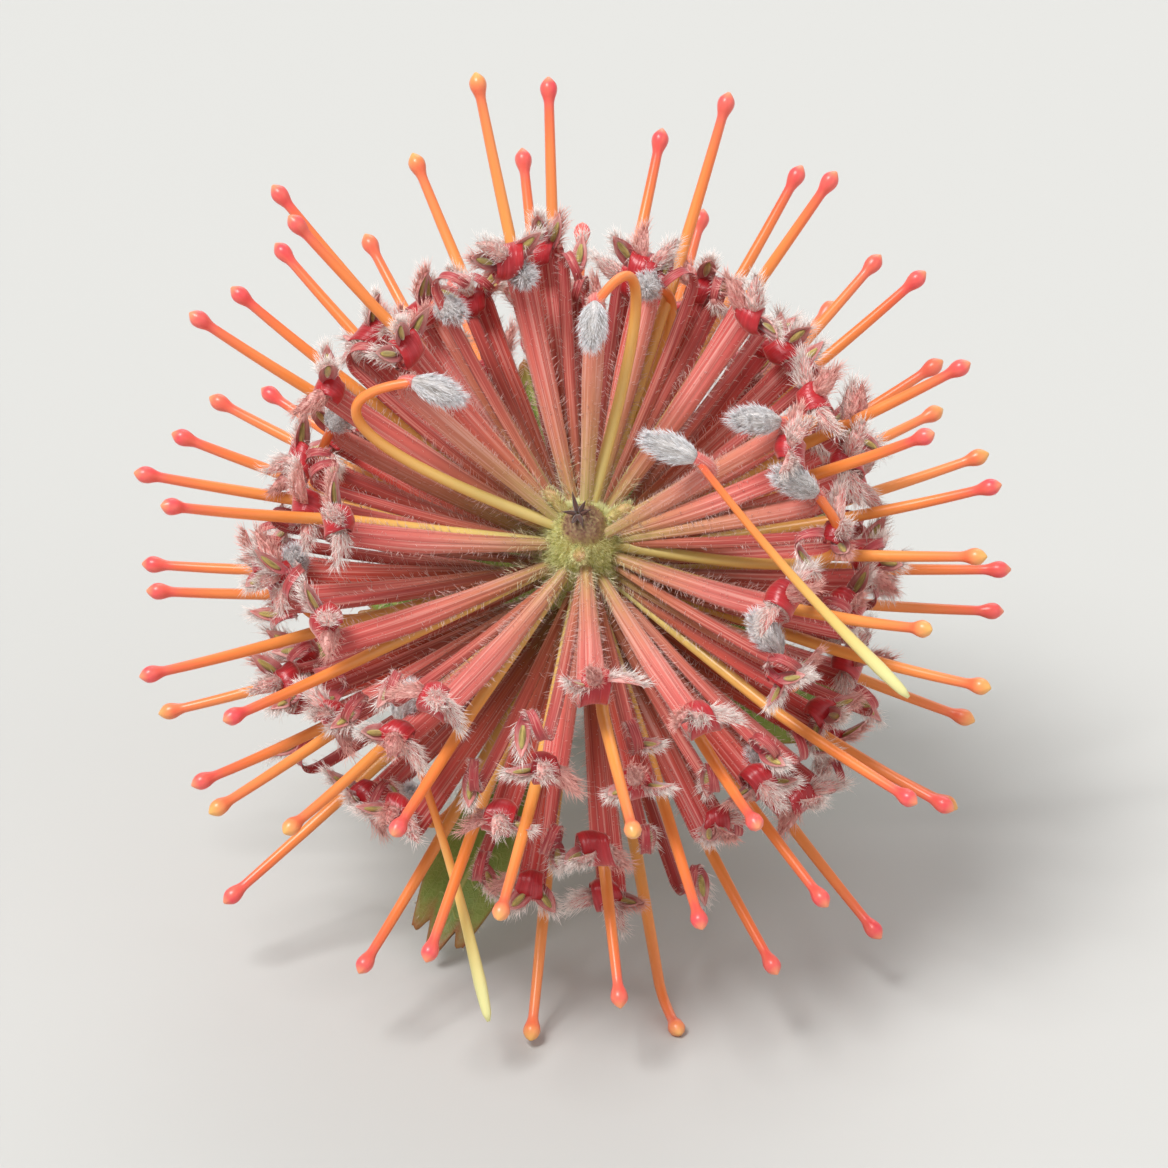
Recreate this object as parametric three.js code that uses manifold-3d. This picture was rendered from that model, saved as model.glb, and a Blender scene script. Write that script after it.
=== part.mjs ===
// A pincushion protea flower, cut with a short leafy stem and lying on a flat surface.
//
// Millimetres, +Z up, with the surface at z = 0 and the origin under the middle of the whole flower's box.
// The head looks towards -Y and upwards, and rests on the tips of its lowest styles. Behind it the stem bends
// down and runs back along the surface.

import * as THREE from "three";
import { mergeVertices } from "three/addons/utils/BufferGeometryUtils.js";
import Module from "manifold-3d";

const wasm = await Module();
wasm.setup();

const DEGREE = Math.PI / 180;
const GOLDEN_ANGLE = Math.PI * (3 - Math.sqrt(5));
const SEAT_GAP = 0.3; // between pieces that touch
const LANDING = 3; // how gently what meets the surface bends to lie along it

// The head's own directions: out of its face, to its right and over its top.
const HEAD_TILT = 52 * DEGREE;
const HEAD_MIDDLE = new THREE.Vector3(0, 0, 58.5);
const UP = new THREE.Vector3(0, 0, 1);
const RIGHT = new THREE.Vector3(1, 0, 0);
const FACE = new THREE.Vector3(0, -Math.cos(HEAD_TILT), Math.sin(HEAD_TILT));

// Florets. A turn is an angle round the head's axis from its right, and a lean is an angle from that axis.
// Half sizes are [across, through], in the order in which the piece grows.
const OPEN_FLORETS = 62;
const INNER_LEAN = 54 * DEGREE;
const OUTER_LEAN = 104 * DEGREE;
const INNER_FOOT = { r: 1.6, z: 5 };
const OUTER_FOOT = { r: 3.4, z: -13 };
const PERIANTH = { length: 37.8, bow: 14 * DEGREE, foot: [0.8, 0.5], middle: [1.5, 0.45], end: [1.9, 0.4] };
const CURL = { radius: 2.3, turn: 212 * DEGREE, spread: 20 * DEGREE };
const TUFT = { length: 5, middle: [2.3, 1], end: [0.8, 0.4] };
const STYLE = { length: 58.5, longerAtTop: 0.11, bow: 14 * DEGREE, splay: 3 * DEGREE, behind: 1.15, half: 0.42 };
const VIGOUR = { most: 0.055, mostAt: 235 * DEGREE, upAndDown: 0.035 }; // how unevenly round the head they grow
const PRESENTER = { length: 3.2, half: 0.85, tipHalf: 0.25 };

// The florets that have not opened yet. aside is how far the style bows out towards greater turns. The style of
// two of them has come away at its foot: thrown gives the way it points, as [right, over, out].
const CLOSED_FLORETS = [
  { turn: -16, lean: 27, thrown: [0.665, -0.68, -0.305] },
  { turn: 86, lean: 40, aside: -7 },
  { turn: 154, lean: 49, aside: 8 },
  { turn: 12, lean: 51, aside: 3 },
  { turn: -5, lean: 59, aside: -7 },
  { turn: 125, lean: 66, aside: 3 },
  { turn: 105, lean: 66, aside: 0 },
  { turn: 74, lean: 66, aside: -4 },
  { turn: -39, lean: 71, aside: 0 },
  { turn: 157, lean: 76, aside: 7 },
  { turn: 228, lean: 80, thrown: [0.275, -0.88, -0.39] },
  { turn: 182, lean: 90, aside: 4 },
  { turn: -53, lean: 90, aside: 0 },
  { turn: 233, lean: 103, aside: 3 },
];
const BUD = { length: 34, bow: 6 * DEGREE, foot: [0.65, 0.5], middle: [1.3, 0.9], neck: [1, 0.8] };
const NECK = { length: 5, bend: 105 * DEGREE, spread: 20 * DEGREE };
const LIMB = { length: 6.6, half: [1.3, 1.3], tipHalf: [0.5, 0.5] };
const LOOP = { rise: 35, behind: 7, back: 13, early: 1.2, late: 0.8 }; // a bowed style's handles
const THROWN_LENGTH = 43;

// What the florets stand on, as [radius, height along the head's axis] from the tip back.
const RECEPTACLE = [[0, 11], [2.2, 10], [4.4, 6], [6.1, 0], [6.4, -8], [5.4, -15], [4.4, -17], [0, -17]];
const INVOLUCRE = [[0, -17.3], [4.6, -17.3], [5.2, -18.3], [3.3, -22], [2.9, -28], [0, -28]];
const BRACT = { rootRadius: 1.7, length: 7.5, bend: 20 * DEGREE, halves: [[1.3, 0.6], [2, 0.5], [0.5, 0.35]] };
const BRACT_ROWS = [
  { z: -20.2, lean: 84 * DEGREE, count: 8 },
  { z: -23, lean: 70 * DEGREE, count: 7 },
  { z: -25.8, lean: 52 * DEGREE, count: 6 },
];

// The stem. Distances along it are from its top.
const STEM = { length: 152, topRadius: 2.9, cutRadius: 3.5, sway: 5, slant: 2.4 };
const STEM_TOP = HEAD_MIDDLE.clone().addScaledVector(FACE, INVOLUCRE.at(-1)[1] - SEAT_GAP);
const BEND_RADIUS = (STEM_TOP.z - STEM.cutRadius) / (1 - Math.cos(HEAD_TILT));
const BEND_LENGTH = BEND_RADIUS * HEAD_TILT;

// The leaves, from the one nearest the head on down. Leans are from the stem, for the first and last leaf, and
// upper is how much more those on top of the stem lean out. squeeze is how much the last ones are pushed up.
const LEAVES = 11;
const LEAF_PLACE = { start: 9.5, spacing: 6.4, firstTurn: 245 * DEGREE, squeeze: 0.6 };
const LEAF = { length: 43, varies: 0.17, footHalfWidth: 1.5, halfWidth: 6.4, thickness: 0.8, fold: 0.16 };
const LEAF_LEAN = { foot: [56 * DEGREE, 36 * DEGREE], tip: [105 * DEGREE, 70 * DEGREE], upper: 8 * DEGREE };
const LEAF_TOOTH = { notchAt: 0.5, notch: 0.91, sideTooth: 0.945 };

const { clamp, inverseLerp, lerp } = THREE.MathUtils;

// A seeded draw from -1 to 1, the same each time for one item and purpose.
function draw(item, purpose) {
  const wave = Math.sin(item * 12.9898 + purpose * 78.233) * 43758.5453;
  return 2 * (wave - Math.floor(wave)) - 1;
}

// The direction square to an axis at a turn from the right.
function around(axis, turn) {
  const over = new THREE.Vector3().crossVectors(axis, RIGHT);
  return RIGHT.clone().multiplyScalar(Math.cos(turn)).addScaledVector(over, Math.sin(turn));
}

// Where something stands on the head, as the start of a walk.
function onHead(turn, { r, z }) {
  const out = around(FACE, turn);
  const point = HEAD_MIDDLE.clone().addScaledVector(out, r).addScaledVector(FACE, z);
  return { point, axis: FACE, out };
}

// Lifts a point that lies below the surface onto it.
const onSurface = (point) => point.setZ(Math.max(0, point.z));

// One step of a path. A step that would go through the surface bends to run along it, at its full length.
function advance(point, direction, step, clearance) {
  const drop = -direction.z * step;
  const room = Math.max(0, point.z - clearance) * (1 - Math.exp(-step / LANDING));
  const move = direction.clone().multiplyScalar(step);
  if (drop > room) {
    move.setZ(0).setLength(Math.sqrt(Math.max(0, step * step - room * room))).setZ(-room);
  }
  return point.clone().add(move);
}

// Walks away from an axis. Each stretch has a length, a bend towards the axis and a step count. Returns the
// stations, each with its point and its normal, which faces the axis.
function walk({ point, axis, out, lean, sway = 0, clearance = 0.5 }, stretches) {
  const side = new THREE.Vector3().crossVectors(axis, out);
  const ahead = (angle) =>
    new THREE.Vector3()
      .addScaledVector(out, Math.sin(angle))
      .addScaledVector(axis, Math.cos(angle))
      .addScaledVector(side, sway)
      .normalize();
  const inward = (angle) =>
    new THREE.Vector3().addScaledVector(out, -Math.cos(angle)).addScaledVector(axis, Math.sin(angle));
  let angle = lean;
  const stations = [{ point, normal: inward(angle) }];
  for (const { length, bend, steps } of stretches) {
    for (let k = 0; k < steps; k++) {
      angle -= bend / steps / 2;
      const next = advance(stations.at(-1).point, ahead(angle), length / steps, clearance);
      angle -= bend / steps / 2;
      stations.push({ point: next, normal: inward(angle) });
    }
  }
  return stations;
}

// The frame at each station: its tangent, its normal squared up to that, and the direction across both.
function frames(stations) {
  return stations.map(({ point, normal }, k) => {
    const before = stations[Math.max(0, k - 1)].point;
    const after = stations[Math.min(stations.length - 1, k + 1)].point;
    const tangent = after.clone().sub(before).normalize();
    const through = normal.clone().addScaledVector(tangent, -normal.dot(tangent)).normalize();
    return { point, tangent, through, across: new THREE.Vector3().crossVectors(tangent, through) };
  });
}

// A closed tube along the stations: a cylinder bent to follow them. halves gives its half sizes at each.
function tube(stations, sides, halves) {
  const steps = stations.length - 1;
  const shape = new THREE.CylinderGeometry(1, 1, steps, sides, steps, false, Math.PI / sides);
  const corner = 1 / Math.cos(Math.PI / sides);
  const placed = frames(stations);
  const vertices = shape.attributes.position;
  for (let v = 0; v < vertices.count; v++) {
    const k = Math.round(vertices.getY(v) + steps / 2);
    const at = placed[k].point
      .clone()
      .addScaledVector(placed[k].across, vertices.getX(v) * halves[k][0] * corner)
      .addScaledVector(placed[k].through, vertices.getZ(v) * halves[k][1] * corner);
    vertices.setXYZ(v, ...onSurface(at).toArray());
  }
  return shape;
}

// A closed blade over a grid of points, middle(u, v) with u from -1 to 1 across and v from 0 to 1 along. Both
// faces are split into triangles alike.
function blade(columns, rows, thickness, middle) {
  const grid = [];
  for (let j = 0; j <= rows; j++) {
    for (let i = 0; i <= columns; i++) grid.push(onSurface(middle((2 * i) / columns - 1, j / rows)));
  }
  const at = (i, j) => clamp(j, 0, rows) * (columns + 1) + clamp(i, 0, columns);
  const upper = [];
  const lower = [];
  grid.forEach((point, index) => {
    const [i, j] = [index % (columns + 1), Math.floor(index / (columns + 1))];
    const acrossGrid = grid[at(i + 1, j)].clone().sub(grid[at(i - 1, j)]);
    const alongGrid = grid[at(i, j + 1)].clone().sub(grid[at(i, j - 1)]);
    const normal = acrossGrid.cross(alongGrid).normalize();
    upper.push(onSurface(point.clone().addScaledVector(normal, thickness / 2)));
    lower.push(onSurface(point.clone().addScaledVector(normal, -thickness / 2)));
  });
  const under = grid.length;
  const faces = [];
  for (let j = 0; j < rows; j++) {
    for (let i = 0; i < columns; i++) {
      const [a, b, c, d] = [at(i, j), at(i + 1, j), at(i + 1, j + 1), at(i, j + 1)];
      faces.push(a, b, c, a, c, d);
      faces.push(a + under, c + under, b + under, a + under, d + under, c + under);
    }
  }
  const rim = [];
  for (let i = 0; i < columns; i++) rim.push(at(i, 0));
  for (let j = 0; j < rows; j++) rim.push(at(columns, j));
  for (let i = columns; i > 0; i--) rim.push(at(i, rows));
  for (let j = rows; j > 0; j--) rim.push(at(0, j));
  rim.forEach((a, k) => {
    const b = rim[(k + 1) % rim.length];
    faces.push(a, a + under, b + under, a, b + under, b);
  });
  return new THREE.BufferGeometry().setFromPoints([...upper, ...lower]).setIndex(faces);
}

// A closed solid turned about the head's axis, from an outline of [radius, height] from the front back.
function turned(outline, segments) {
  const profile = outline.map(([r, z]) => new THREE.Vector2(r, z)).reverse();
  const basis = new THREE.Matrix4().makeBasis(RIGHT, FACE, new THREE.Vector3().crossVectors(RIGHT, FACE));
  return new THREE.LatheGeometry(profile, segments).applyMatrix4(basis.setPosition(HEAD_MIDDLE));
}

// A closed geometry as a solid.
function solid(geometry) {
  const bare = new THREE.BufferGeometry().setIndex(geometry.index);
  bare.setAttribute("position", geometry.attributes.position);
  const merged = mergeVertices(bare);
  return new wasm.Manifold(
    new wasm.Mesh({
      numProp: 3,
      vertProperties: new Float32Array(merged.attributes.position.array),
      triVerts: new Uint32Array(merged.index.array),
    }),
  );
}

// Joins geometries into one closed body. Hollows that the joining seals are filled.
function fuse(geometries) {
  const bodies = wasm.Manifold.union(geometries.map(solid)).decompose();
  const body = bodies.reduce((largest, next) => (next.volume() > largest.volume() ? next : largest));
  const mesh = body.getMesh();
  return new THREE.BufferGeometry()
    .setAttribute("position", new THREE.BufferAttribute(mesh.vertProperties, 3))
    .setIndex(new THREE.BufferAttribute(mesh.triVerts, 1));
}

// Florets are rooted along the receptacle, the more they lean the farther back. share is 0 at the innermost.
function rootedAt(share) {
  return { r: lerp(INNER_FOOT.r, OUTER_FOOT.r, share), z: lerp(INNER_FOOT.z, OUTER_FOOT.z, share) };
}

// How much longer or shorter florets grow at a turn round the head.
function vigour(turn) {
  return 1 + VIGOUR.most * Math.cos(turn - VIGOUR.mostAt) + VIGOUR.upAndDown * Math.sin(turn) ** 2;
}

// The perianth of an open floret: a strap that ends rolled back on itself, in a tuft of hairy lobes.
function openPerianth(index, turn, share, lean) {
  const rolled = CURL.turn + CURL.spread * draw(index, 3);
  const radius = CURL.radius * (1 + 0.12 * draw(index, 4));
  const start = { ...onHead(turn, rootedAt(share)), lean: lean + PERIANTH.bow / 2, sway: 0.06 * draw(index, 6) };
  const stations = walk(start, [
    { length: PERIANTH.length * vigour(turn) * (1 + 0.06 * draw(index, 5)), bend: PERIANTH.bow, steps: 2 },
    { length: radius * rolled, bend: rolled, steps: 4 },
    { length: TUFT.length / 2, bend: 0, steps: 1 },
    { length: TUFT.length / 2, bend: 0, steps: 1 },
  ]);
  const halves = [PERIANTH.foot, PERIANTH.middle, ...Array(5).fill(PERIANTH.end), TUFT.middle, TUFT.end];
  return tube(stations, 4, halves);
}

// An open floret's style: a wire that springs out past the perianth and ends in the pollen presenter.
function openStyle(index, turn, share, lean) {
  const atTop = Math.max(0, Math.sin(turn)) ** 2;
  const length = STYLE.length * vigour(turn) * (1 + 0.04 * draw(index, 7)) * (1 + STYLE.longerAtTop * atTop);
  const { r, z } = rootedAt(share);
  const start = {
    ...onHead(turn, { r, z: z - STYLE.behind }),
    lean: lean + STYLE.bow / 2 + STYLE.splay + 0.035 * draw(index, 8),
    sway: 0.09 * draw(index, 9),
    clearance: STYLE.half,
  };
  const stations = walk(start, [
    { length: length - PRESENTER.length, bend: STYLE.bow, steps: 3 },
    { length: PRESENTER.length * 0.55, bend: 0, steps: 1 },
    { length: PRESENTER.length * 0.45, bend: 0, steps: 1 },
  ]);
  const halves = [...Array(4).fill(STYLE.half), PRESENTER.half, PRESENTER.tipHalf];
  return tube(stations, 3, halves.map((half) => [half, half]));
}

// A closed floret: its tube, bent in at the neck to the silvery limb, and its style, which bows out behind
// it or, where it has come away at its foot, points off from the limb.
function closedFloret({ turn, lean, aside, thrown }, index) {
  const share = clamp(inverseLerp(Math.cos(INNER_LEAN), Math.cos(OUTER_LEAN), Math.cos(lean * DEGREE)), 0, 1);
  const start = { ...onHead(turn * DEGREE, rootedAt(share)), lean: lean * DEGREE + BUD.bow / 2 };
  const stations = walk(start, [
    { length: BUD.length * (1 + 0.05 * draw(index, 15)), bend: BUD.bow, steps: 2 },
    { length: NECK.length, bend: NECK.bend + NECK.spread * draw(index, 13), steps: 2 },
    { length: LIMB.length, bend: 0, steps: 3 },
  ]);
  const halves = [BUD.foot, BUD.middle, BUD.neck, BUD.neck, BUD.neck, LIMB.half, LIMB.half, LIMB.tipHalf];
  const placed = frames(stations);
  const [leaving, joining] = [placed[0], placed[4]];
  let path;
  if (thrown) {
    const way = around(FACE, 0).multiplyScalar(thrown[0]);
    way.addScaledVector(around(FACE, Math.PI / 2), thrown[1]).addScaledVector(FACE, thrown[2]);
    path = [0, 0.5, 1].map((share) => joining.point.clone().addScaledVector(way, THROWN_LENGTH * share));
  } else {
    path = new THREE.CubicBezierCurve3(
      leaving.point,
      leaving.point
        .clone()
        .addScaledVector(leaving.tangent, LOOP.rise)
        .addScaledVector(leaving.through, -LOOP.behind)
        .addScaledVector(leaving.across, -aside * LOOP.early),
      joining.point
        .clone()
        .addScaledVector(joining.tangent, -LOOP.back)
        .addScaledVector(leaving.across, -aside * LOOP.late),
      joining.point,
    ).getPoints(6);
  }
  const along = path.map((point) => ({ point, normal: leaving.through }));
  return [tube(stations, 4, halves), tube(along, 3, along.map(() => [STYLE.half, STYLE.half]))];
}

function flowerHead() {
  const parts = [turned(RECEPTACLE, 12), ...CLOSED_FLORETS.flatMap(closedFloret)];
  for (let index = 0; index < OPEN_FLORETS; index++) {
    const share = (index + 0.5) / OPEN_FLORETS;
    const turn = index * GOLDEN_ANGLE + 0.05 * draw(index, 1);
    const lean = Math.acos(lerp(Math.cos(INNER_LEAN), Math.cos(OUTER_LEAN), share)) + 0.05 * draw(index, 2);
    parts.push(openPerianth(index, turn, share, lean), openStyle(index, turn, share, lean));
  }
  return fuse(parts);
}

// The involucre: the flared foot of the head with its rows of bracts.
function involucre() {
  const parts = [turned(INVOLUCRE, 14)];
  BRACT_ROWS.forEach(({ z, lean, count }, row) => {
    for (let k = 0; k < count; k++) {
      const turn = ((k + row / 2) / count) * 2 * Math.PI + 0.1 * draw(10 * row + k, 10);
      const start = { ...onHead(turn, { r: BRACT.rootRadius, z }), lean };
      parts.push(tube(walk(start, [{ length: BRACT.length, bend: BRACT.bend, steps: 2 }]), 4, BRACT.halves));
    }
  });
  return fuse(parts);
}

// The stem's middle line: an arc that lands on the surface, then straight, swaying a little sideways.
function stemPoint(distance) {
  const bent = Math.min(distance / BEND_RADIUS, HEAD_TILT);
  const dip = HEAD_TILT - bent;
  return new THREE.Vector3(
    (STEM.sway / 2) * (1 - Math.cos((2 * Math.PI * distance) / STEM.length)),
    STEM_TOP.y + BEND_RADIUS * (Math.sin(HEAD_TILT) - Math.sin(dip)) + distance - BEND_RADIUS * bent,
    STEM_TOP.z - BEND_RADIUS * (Math.cos(dip) - Math.cos(HEAD_TILT)),
  );
}

const stemRadius = (distance) => lerp(STEM.topRadius, STEM.cutRadius, Math.min(1, distance / BEND_LENGTH));

function stem() {
  const steps = 16;
  const distances = Array.from({ length: steps + 1 }, (_, k) => (STEM.length * k) / steps);
  const stations = distances.map((distance) => ({ point: stemPoint(distance), normal: RIGHT }));
  const radii = distances.map(stemRadius);
  const shape = tube(stations, 10, radii.map((radius) => [radius, radius]));
  const vertices = shape.attributes.position;
  const end = stemPoint(STEM.length).y;
  for (let v = 0; v < vertices.count; v++) {
    const past = vertices.getY(v) - end;
    const height = vertices.getZ(v) / (2 * STEM.cutRadius);
    if (Math.abs(past) < 1) vertices.setY(v, vertices.getY(v) - STEM.slant * height); // the slanting cut
  }
  return mergeVertices(shape);
}

// How far along its midrib a leaf reaches at u across it: three teeth, the middle one longest.
function leafReach(u) {
  const { notchAt, notch, sideTooth } = LEAF_TOOTH;
  const off = Math.abs(u);
  if (off < notchAt) return lerp(1, notch, off / notchAt);
  return lerp(notch, sideTooth, (off - notchAt) / (1 - notchAt));
}

function leafHalfWidth(v) {
  const widestAt = 0.6;
  if (v > widestAt) return LEAF.halfWidth * (1 - 0.38 * inverseLerp(widestAt, 1, v) ** 2);
  return lerp(LEAF.footHalfWidth, LEAF.halfWidth, Math.sin((Math.PI / 2) * (v / widestAt)) ** 1.5);
}

// A leaf's turn round the stem. The nearer the stem is to the surface, the more its leaves are pushed up.
function leafTurn(index, share) {
  const turn = LEAF_PLACE.firstTurn + index * GOLDEN_ANGLE;
  const fromTop = Math.atan2(Math.cos(turn), Math.sin(turn));
  return Math.PI / 2 - fromTop * (1 - LEAF_PLACE.squeeze * Math.sqrt(share));
}

function leaf(index) {
  const share = index / (LEAVES - 1);
  const distance = LEAF_PLACE.start + LEAF_PLACE.spacing * index;
  const dip = HEAD_TILT - distance / BEND_RADIUS;
  const axis = new THREE.Vector3(0, -Math.cos(dip), Math.sin(dip));
  const turn = leafTurn(index, share);
  const out = around(axis, turn);
  const off = stemRadius(distance) + SEAT_GAP + LEAF.thickness / 2;
  const point = stemPoint(distance).addScaledVector(out, off);
  const lean = lerp(...LEAF_LEAN.foot, share) + LEAF_LEAN.upper * Math.sin(turn);
  const opening = lerp(...LEAF_LEAN.tip, share) - lerp(...LEAF_LEAN.foot, share);
  const length = LEAF.length * (1 + LEAF.varies * draw(index, 96));
  const steps = 24;
  const placed = frames(
    walk({ point, axis, out, lean, sway: 0.08 * draw(index, 12), clearance: LEAF.thickness / 2 }, [
      { length: length / 3, bend: -opening * 0.6, steps: steps / 3 },
      { length: (length * 2) / 3, bend: -opening * 0.4, steps: (steps * 2) / 3 },
    ]),
  );
  return blade(4, 9, LEAF.thickness, (u, v) => {
    const along = v * leafReach(u) * steps;
    const k = Math.min(steps - 1, Math.floor(along));
    const half = leafHalfWidth(v);
    return placed[k].point
      .clone()
      .lerp(placed[k + 1].point, along - k)
      .addScaledVector(placed[k].across, u * half)
      .addScaledVector(placed[k].through, LEAF.fold * Math.abs(u) * half);
  });
}

function named(name, geometry, color) {
  const mesh = new THREE.Mesh(geometry, new THREE.MeshStandardMaterial({ color, roughness: 0.7 }));
  mesh.name = name;
  return mesh;
}

const flower = new THREE.Group();
flower.add(named("flower_head", flowerHead(), 0xc4444a));
flower.add(named("involucre", involucre(), 0x8a7c4c));
flower.add(named("stem", stem(), 0x7d7a3c));
for (let index = 0; index < LEAVES; index++) {
  flower.add(named(`leaf_${index + 1}`, leaf(index), 0x6d8a3a));
}

const box = new THREE.Box3().setFromObject(flower, true);
flower.position.set(-(box.min.x + box.max.x) / 2, -(box.min.y + box.max.y) / 2, 0);

export default flower;
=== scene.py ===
"""A pincushion protea flower lying on a pale floor: its florets, styles, hairs, leaves and stem.

Shapes are worked out in millimetres in the flower's own frame, as its solids are. Meshes are in metres.
"""

import math

import bpy
import numpy as np
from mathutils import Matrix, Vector


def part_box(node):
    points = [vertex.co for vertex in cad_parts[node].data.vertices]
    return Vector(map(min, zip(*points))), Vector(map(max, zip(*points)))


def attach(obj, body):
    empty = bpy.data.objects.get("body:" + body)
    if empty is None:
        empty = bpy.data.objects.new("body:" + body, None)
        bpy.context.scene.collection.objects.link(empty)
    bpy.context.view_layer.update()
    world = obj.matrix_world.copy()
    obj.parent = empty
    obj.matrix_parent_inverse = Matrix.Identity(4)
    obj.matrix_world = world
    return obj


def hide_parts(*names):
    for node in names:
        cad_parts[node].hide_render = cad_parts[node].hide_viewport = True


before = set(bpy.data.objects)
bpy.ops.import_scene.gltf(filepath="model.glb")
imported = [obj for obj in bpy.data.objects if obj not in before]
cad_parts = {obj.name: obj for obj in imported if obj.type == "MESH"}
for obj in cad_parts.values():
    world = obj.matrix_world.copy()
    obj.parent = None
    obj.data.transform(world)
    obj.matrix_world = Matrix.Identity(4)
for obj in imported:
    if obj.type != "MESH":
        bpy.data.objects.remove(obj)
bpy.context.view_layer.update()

DEGREE = math.pi / 180
GOLDEN_ANGLE = math.pi * (3 - math.sqrt(5))
MM = 0.001
SEAT_GAP = 0.3
LANDING = 3.0

# The head: out of its face, to its right and over its top.
HEAD_TILT = 52 * DEGREE
HEAD_MIDDLE = np.array([0.0, 0.0, 58.5])
UP = np.array([0.0, 0.0, 1.0])
RIGHT = np.array([1.0, 0.0, 0.0])
FACE = np.array([0.0, -math.cos(HEAD_TILT), math.sin(HEAD_TILT)])
OVER = np.cross(FACE, RIGHT)

# Florets. A turn is an angle round the head's axis from its right, and a lean is an angle from that axis.
OPEN_FLORETS = 62
INNER_LEAN, OUTER_LEAN = 54 * DEGREE, 104 * DEGREE
INNER_FOOT, OUTER_FOOT = (1.6, 5.0), (3.4, -13.0)  # distance from the axis, place along it
PERIANTH_LENGTH, PERIANTH_BOW = 37.8, 14 * DEGREE
CURL_RADIUS = 2.3
STYLE_LENGTH, STYLE_BOW, STYLE_SPLAY, STYLE_BEHIND = 58.5, 14 * DEGREE, 3 * DEGREE, 1.15
STYLE_LONGER_AT_TOP = 0.11
PRESENTER_LENGTH = 4.2
VIGOUR_MOST, VIGOUR_AT, VIGOUR_UP_AND_DOWN = 0.055, 235 * DEGREE, 0.035

# The florets that are still closed: turn, lean, how far the style bows to the side of greater turns, and
# the way that a style points which came away at its foot.
CLOSED_FLORETS = [
    (-16, 27, 0, (0.665, -0.68, -0.305)),
    (86, 40, -7, None),
    (154, 49, 8, None),
    (12, 51, 3, None),
    (-5, 59, -7, None),
    (125, 66, 3, None),
    (105, 66, 0, None),
    (74, 66, -4, None),
    (-39, 71, 0, None),
    (157, 76, 7, None),
    (228, 80, 0, (0.275, -0.88, -0.39)),
    (182, 90, 4, None),
    (-53, 90, 0, None),
    (233, 103, 3, None),
]
BUD_LENGTH, BUD_BOW = 34.0, 6 * DEGREE
NECK_LENGTH, NECK_BEND, NECK_SPREAD = 5.0, 105 * DEGREE, 20 * DEGREE
LIMB_LENGTH = 7.2
LOOP_RISE, LOOP_BEHIND, LOOP_BACK, LOOP_EARLY, LOOP_LATE = 35, 7, 13, 1.2, 0.8  # a bowed style's handles
THROWN_LENGTH = 43.0

RECEPTACLE = [(0, 11), (2.2, 10), (4.4, 6), (6.1, 0), (6.4, -8), (5.4, -15), (4.4, -17), (0, -17)]
INVOLUCRE = [(0, -17.3), (4.6, -17.3), (5.2, -18.3), (3.3, -22), (2.9, -28), (0, -28)]
BRACT_ROOT, BRACT_LENGTH, BRACT_BEND = 1.7, 7.5, 20 * DEGREE
BRACT_ROWS = [(-20.2, 84 * DEGREE, 8), (-23.0, 70 * DEGREE, 7), (-25.8, 52 * DEGREE, 6)]

# The stem. Distances along it are from its top.
STEM_LENGTH, STEM_TOP_RADIUS, STEM_CUT_RADIUS, STEM_SWAY, STEM_SLANT = 152.0, 2.9, 3.5, 5.0, 2.4
STEM_TOP = HEAD_MIDDLE - 28.3 * FACE
BEND_RADIUS = (STEM_TOP[2] - STEM_CUT_RADIUS) / (1 - math.cos(HEAD_TILT))

# The leaves, from the one nearest the head. Leans are from the stem, for the first and last leaf.
LEAVES = 11
LEAF_START, LEAF_SPACING, LEAF_FIRST_TURN, LEAF_SQUEEZE = 9.5, 6.4, 245 * DEGREE, 0.6
LEAF_LENGTH, LEAF_VARIES = 43.0, 0.17
LEAF_FOOT_HALF, LEAF_HALF, LEAF_THICKNESS, LEAF_FOLD = 1.5, 6.4, 0.8, 0.16
LEAF_FOOT_LEANS, LEAF_TIP_LEANS = (56 * DEGREE, 36 * DEGREE), (105 * DEGREE, 70 * DEGREE)
LEAF_UPPER = 8 * DEGREE
LEAF_STEPS, LEAF_ROWS, LEAF_COLUMNS = 24, 60, 29
LEAF_WIDEST = 0.6  # how far along its midrib

ON_HEAD = "florets", "flower_head"  # a slot and the node that its pieces replace

rng = np.random.default_rng(20)


# Geometry.


def draw(item, purpose):
    """A seeded draw from -1 to 1, the same as the solids use."""
    wave = math.sin(item * 12.9898 + purpose * 78.233) * 43758.5453
    return 2 * (wave - math.floor(wave)) - 1


def unit(v):
    return v / np.linalg.norm(v, axis=-1, keepdims=True)


def lerp(a, b, t):
    return a + (b - a) * t


def column(values):
    return np.asarray(values, float)[:, None]


def all_round(count):
    """The angles of a ring's corners."""
    return np.arange(count) * 2 * math.pi / count


def around(axis, turn):
    """The direction square to an axis at a turn from the right."""
    return RIGHT * math.cos(turn) + np.cross(axis, RIGHT) * math.sin(turn)


def on_head(turn, r, z):
    """Where something stands on the head: its point, the axis and the way out from it."""
    out = around(FACE, turn)
    return HEAD_MIDDLE + out * r + FACE * z, FACE, out


def even(length, bend, count, sway=0.0):
    return [(length / count, bend / count, sway)] * count


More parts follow.
